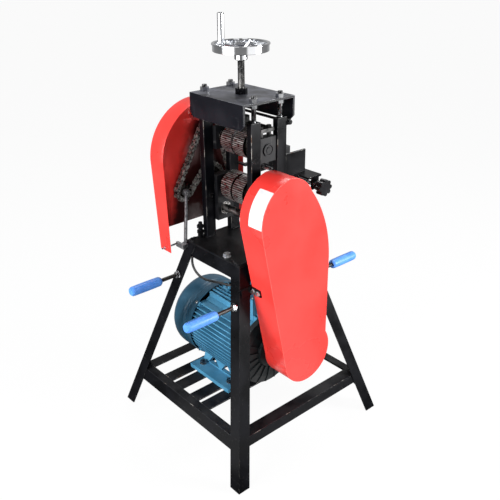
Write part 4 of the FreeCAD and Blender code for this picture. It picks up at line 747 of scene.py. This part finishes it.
# Drive: a cast pulley pair with two belts from the motor, then a pinion and gear to the lower roller.
# The gears and sprockets are oiled, the pulleys are black iron, and the shafts are ground steel gone dull.
dress(finish("shaft_steel", (0.12, 0.118, 0.115), (0.34, 0.33, 0.32), (0.2, 0.36), metallic=1.0, patch=45.0),
      "lower_shaft", "upper_shaft", "countershaft", "motor_shaft")
dress(finish("oily_steel", (0.035, 0.032, 0.028), (0.15, 0.14, 0.125), (0.22, 0.42), metallic=0.9, patch=90.0),
      "lower_gear", "pinion", "lower_sprocket", "upper_sprocket", "arm_sprocket", "rear_sprocket")
dress(finish("cast_black", (0.012, 0.012, 0.013), (0.03, 0.03, 0.031), (0.42, 0.6), dust_and_sheen_share=0.2, grain_scale=220.0,
             grain_depth=0.0003), "big_pulley", "motor_pulley")
dress(finish("belt_rubber", (0.012, 0.012, 0.012), (0.024, 0.024, 0.024), (0.55, 0.75), specular=0.3, dust_and_sheen_share=0.2),
      "v_belts")

# Chain: a single-strand roller chain that turns the upper roller from the lower one and runs oiled and bare.
# Pressed plates with a waist are riveted on pins, two plates to a link, and hardened rollers turn on the inner links.
# It is joined endless, and is built here in four pieces by where each link's first pin lies; only the piece round the
# lower sprocket rides a body.
CHAIN_PITCH, CHAIN_X = 0.01905, -0.152
PLATE_END, PLATE_WAIST, PLATE_SHEET = 0.008, 0.0054, 0.0018
OUTER_TRIM = 0.0008                      # the outer plates are this much narrower at their ends
ROLLER_WIDTH, ROLLER_RADIUS, PIN_RADIUS, PIN_REACH = 0.0092, 0.0059, 0.0027, 0.0086
# Each sprocket's Y and Z, its teeth, and 1 where the chain turns round it to the left or -1 to the right.
SPROCKETS = ((HEAD_Y, UPPER_AXIS, 12, 1), (-0.122, 0.762794, 8, 1), (HEAD_Y, LOWER_AXIS, 13, -1), (0.044, 0.735, 8, 1))
# Places on the chain: 0 to 1 is round the upper sprocket, 1 to 2 the run to the tensioner's, and so on in turn.
CREST_SPLIT, FRONT_SPLIT, LOWER_WRAP, BACK_RUN, CHAIN_END = 0.5, 1.65, 4, 7, 8
chain_steel = finish("chain_steel", (0.06, 0.057, 0.052), (0.66, 0.65, 0.62), (0.26, 0.46), metallic=0.7, patch=170.0)


def pitch_radius(teeth):
    """How far the pins sit from a sprocket's axis."""
    return CHAIN_PITCH / (2 * math.sin(math.pi / teeth))


def tight_run(one, two):
    """The straight run from one sprocket to the next: both ends and its heading."""
    reaches = [wheel[3] * pitch_radius(wheel[2]) for wheel in (one, two)]
    lean = math.asin((reaches[1] - reaches[0]) / math.dist(one[:2], two[:2]))
    heading = math.atan2(two[1] - one[1], two[0] - one[0]) - lean
    return [swung(wheel, reach, heading - math.pi / 2) for wheel, reach in zip((one, two), reaches)] + [heading]


runs = [tight_run(one, two) for one, two in zip(SPROCKETS, SPROCKETS[1:] + SPROCKETS[:1])]
stretches = []                           # wraps and runs in turn, each with its length in pitches
for k, (*_, teeth, side) in enumerate(SPROCKETS):
    turn = (runs[k][2] - runs[k - 1][2]) * side % math.tau
    stretches += [turn * teeth / math.tau, math.dist(*runs[k][:2]) / CHAIN_PITCH]
link_count = 2 * round(sum(stretches) / 2)


def pin_place(count):
    """A pin's Y and Z, and its place on the chain, from its number."""
    for k, length in enumerate(stretches):
        if count < length:
            share = count / length
            if k % 2:
                start, end, _ = runs[k // 2]
                return [a + share * (b - a) for a, b in zip(start, end)] + [k + share]
            y, z, teeth, side = SPROCKETS[k // 2]
            meets = runs[k // 2 - 1][1]
            angle = math.atan2(meets[1] - z, meets[0] - y) + side * count * math.tau / teeth
            return [*swung((y, z), pitch_radius(teeth), angle), k + share]
        count -= length
    return pin_place(0.0)


pins = [pin_place(k) for k in range(link_count)]


def slab(work, outline, x0, x1):
    """A flat plate or a pin: an outline in Y and Z carried across from x0 to x1."""
    prism(work, *([(x, *point) for point in outline] for x in (x0, x1)))


def waisted(start, end, reach):
    """A link plate's outline: a round end about each pin and a narrow waist between them."""
    heading = math.atan2(end[1] - start[1], end[0] - start[0])
    middle = ((start[0] + end[0]) / 2, (start[1] + end[1]) / 2)
    outline = []
    for centre, base in ((end, heading), (start, heading + math.pi)):
        outline += [swung(centre, reach, base + math.radians(degrees)) for degrees in range(-120, 121, 30)]
        outline.append(swung(middle, PLATE_WAIST, base + math.pi / 2))
    return outline


def chain_piece(name, body, *spans):
    """A piece of the links whose first pin is in one of the spans of the chain."""
    def links(work):
        for k, (*start, place) in enumerate(pins):
            if not any(low <= place < high for low, high in spans):
                continue
            end, outer = pins[(k + 1) % link_count][:2], k % 2
            inner = ROLLER_WIDTH / 2 + outer * PLATE_SHEET
            for side in BOTH:
                faces = sorted(CHAIN_X + side * reach for reach in (inner, inner + PLATE_SHEET))
                slab(work, waisted(start, end, PLATE_END - outer * OUTER_TRIM), *faces)
            slab(work, disc(start, ROLLER_RADIUS, 14), CHAIN_X - ROLLER_WIDTH / 2, CHAIN_X + ROLLER_WIDTH / 2)
            slab(work, disc(start, PIN_RADIUS, 10), CHAIN_X - PIN_REACH, CHAIN_X + PIN_REACH)
    return piece(name, links, chain_steel, body)


split_place = [a + (FRONT_SPLIT - 1) * (b - a) for a, b in zip(*runs[0][:2])]
chain_front = chain_piece("chain_front_run", None, (CREST_SPLIT, FRONT_SPLIT))
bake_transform(chain_front)
chain_back = chain_piece("chain_back_run", None, (BACK_RUN, CHAIN_END), (0, CREST_SPLIT))
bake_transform(chain_back)
chain_low = chain_piece("chain_round_lower_sprocket", "root", (LOWER_WRAP, BACK_RUN))
chain_tight = chain_piece("chain_round_tensioner", None, (FRONT_SPLIT, LOWER_WRAP))
# Worked out but not used: the way square to the line between the tensioner stretch's two still ends, and how far the
# stretch reaches along it.
still_y, still_z = (a - b for a, b in zip(split_place, runs[1][1]))
away = Vector((0, still_z, -still_y)).normalized()
away = away if away.z < 0 else -away
bend_start = Vector((CHAIN_X, *split_place))
bend_length = (Vector((CHAIN_X, *runs[0][1])) - bend_start).dot(away)
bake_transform(chain_tight)
for links in (chain_front, chain_back, chain_low, chain_tight):
    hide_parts("roller_chain")

# Tensioner: a galvanised round bar hinged on the left leg that holds the chain tight with its small sprocket.
# It pivots on a bolt and is set by hand.
dress(finish("galvanised", (0.2, 0.2, 0.21), (0.42, 0.42, 0.44), (0.3, 0.5), metallic=0.75, patch=110.0,
             grain_scale=300.0, grain_depth=0.0002), "idler_arm")

# Guards: trays of thin steel sheet over the belts and the chain, folded, welded and sprayed red.
# They are bolted to brackets on the legs, and the sheet is not quite flat.
# The chain guard's tray has a painted shadow on its back: near black where the head's shadow falls, round the chain and
# below it.
GUARD_EDGE = 0.0012
RED_COAT = dict(dark=(0.9, 0.044, 0.036), light=(0.97, 0.06, 0.05), roughness=(0.26, 0.36), specular=0.4,
                coat=0.15, patch=5.0, grain_scale=220.0, grain_depth=0.00008, waves=0.0035)
GUARD_BACK_X = -0.15                     # the tray's back lies behind this plane
SHADOW_SLANT = 0.338                     # the painted shadow's edge leans forward by this much per unit of drop
SHADOW_EDGE, SHADOW_FADE, SHADOW_RAGGEDNESS = -0.392, 0.06, 0.05
red_paint = finish("red_paint", **RED_COAT)
# Painted highlight: the guards' rounded edges are a lighter red, and the 'metal' and 'rust' given here are light reds
# as well.
red_edge_highlight = edge_wear_and_highlight("red_paint_painted_edge_highlight", (0.96, 0.17, 0.15), (0.62, 0.3, 0.28), amount=0.0, rust=(0.75, 0.16, 0.14))
soften(red_paint, red_edge_highlight, "belt_guard", width=GUARD_EDGE)


def painted_shadow_inside(name):
    """The red coat again, with a painted shadow, near black, on the tray's back."""
    material = finish(name, **RED_COAT)
    tree = material.node_tree
    shader = tree.nodes["Principled BSDF"]
    coat = shader.inputs["Base Color"].links[0].from_socket
    own = new_node(tree, "TexCoord").outputs
    spot, facing = split(tree, own["Object"]), split(tree, own["Normal"])
    back = operation(tree, "MULTIPLY", operation(tree, "GREATER_THAN", facing["X"], 0.5),
                     operation(tree, "LESS_THAN", spot["X"], GUARD_BACK_X))
    # Painted shadow: past a slanted, ragged edge the tray's back goes near black, where the head shades it.
    slant = operation(tree, "MULTIPLY_ADD", spot["Z"], -SHADOW_SLANT, spot["Y"])
    ragged_slant = operation(tree, "MULTIPLY_ADD", clouds(tree, 28.0, detail=5.0), SHADOW_RAGGEDNESS, slant)
    painted_shadow = operation(tree, "MULTIPLY", back, window(tree, ragged_slant, low=SHADOW_EDGE, high=SHADOW_EDGE + SHADOW_FADE))
    feed(shader, {"Base Color": mixed(tree, painted_shadow, coat, (0.034, 0.007, 0.007))})
    return material


soften(painted_shadow_inside("red_paint_painted_shadow_inside"), red_edge_highlight, "chain_guard", width=GUARD_EDGE)
dress(black_paint, "guard_brackets")
dress(plated, "chain_guard_stay")

# Blank plate: a thin white plate with rounded corners, bent round the belt guard's rim and glued on.
# It bears no words or signs.
PLATE_X, PLATE_TURN = (0.182, 0.2345), (130.0, 181.0)      # its sides, and how far it reaches round the rim
RIM_CENTRE, RIM_RADIUS = (-0.03, 0.766), 0.12158
PLATE_GAP, PLATE_THICK, CORNER_CUT = 0.00015, 0.0004, 0.0009
PLATE_ACROSS, PLATE_ALONG = 8, 40        # faces each way


def blank_plate(work):
    """Two layers of faces, joined all round; the first and last row are shorter by the corners."""
    layers = []
    for lift in (PLATE_GAP, PLATE_GAP + PLATE_THICK):
        rows = []
        for j in range(PLATE_ALONG + 1):
            turn = math.radians(PLATE_TURN[0] + (PLATE_TURN[1] - PLATE_TURN[0]) * j / PLATE_ALONG)
            inset = CORNER_CUT if j in (0, PLATE_ALONG) else 0.0
            start, width = PLATE_X[0] + inset, PLATE_X[1] - PLATE_X[0] - 2 * inset
            rows.append([work.verts.new((start + width * i / PLATE_ACROSS, *swung(RIM_CENTRE, RIM_RADIUS + lift, turn)))
                         for i in range(PLATE_ACROSS + 1)])
        layers.append(rows)
    under, over = layers
    for j in range(PLATE_ALONG):
        for i in range(PLATE_ACROSS):
            for rows in layers:
                work.faces.new((rows[j][i], rows[j][i + 1], rows[j + 1][i + 1], rows[j + 1][i]))
        for i in (0, PLATE_ACROSS):
            work.faces.new((under[j][i], under[j + 1][i], over[j + 1][i], over[j][i]))
    for j in (0, PLATE_ALONG):
        for i in range(PLATE_ACROSS):
            work.faces.new((under[j][i], under[j][i + 1], over[j][i + 1], over[j][i]))


white_plate = finish("white_plate", (0.72, 0.72, 0.73), (0.84, 0.84, 0.85), (0.3, 0.45), specular=0.4, patch=30.0)
piece("guard_blank_plate", blank_plate, white_plate, "root")

# Press screw: a threaded steel rod that turns in the cover's black nut and bears on the beam's collar.
# The thread runs from the beam nearly to the handwheel's hub.
screw_low, screw_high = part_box("press_screw")
thread_steel = finish("thread_steel", (0.1, 0.1, 0.1), (0.24, 0.235, 0.23), (0.22, 0.38), metallic=1.0, patch=60.0,
                      grain_scale=700.0, grain_depth=0.00008)


def press_thread(work):
    """The screw from end to end."""
    threaded_rod(work, (0, HEAD_Y, screw_low.z), screw_high.z - screw_low.z, radius=0.01, pitch=0.0025,
                 depth=0.0011, plain=(0.024, 0.016))


screw = piece("press_screw_thread", press_thread, thread_steel, "press_screw", smooth=25)
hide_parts("press_screw")

# Handwheel: a cast wheel with a flat band rim and three round arms, polished and chromed.
# A chromed tube turns freely on a long plated bolt as its crank handle.
dress(finish("chrome", (0.86, 0.875, 0.9), (0.93, 0.94, 0.96), (0.05, 0.11), metallic=1.0, patch=40.0,
             grain_scale=60.0, grain_depth=0.00005), "handwheel", "crank_grip")
dress(plated, "crank_bolt")

# Cable guide: a block with a bored eye that a long screw moves along the shelf behind the rollers.
# The star knob on its end is black phenolic moulded on a steel insert.
dress(plated, "guide_screw")
dress(block_paint, "guide_block")
dress(finish("phenolic", (0.012, 0.012, 0.014), (0.024, 0.024, 0.028), (0.16, 0.3), coat=0.3, scratched=0.2,
             dust_and_sheen_share=0.1), "star_knob")
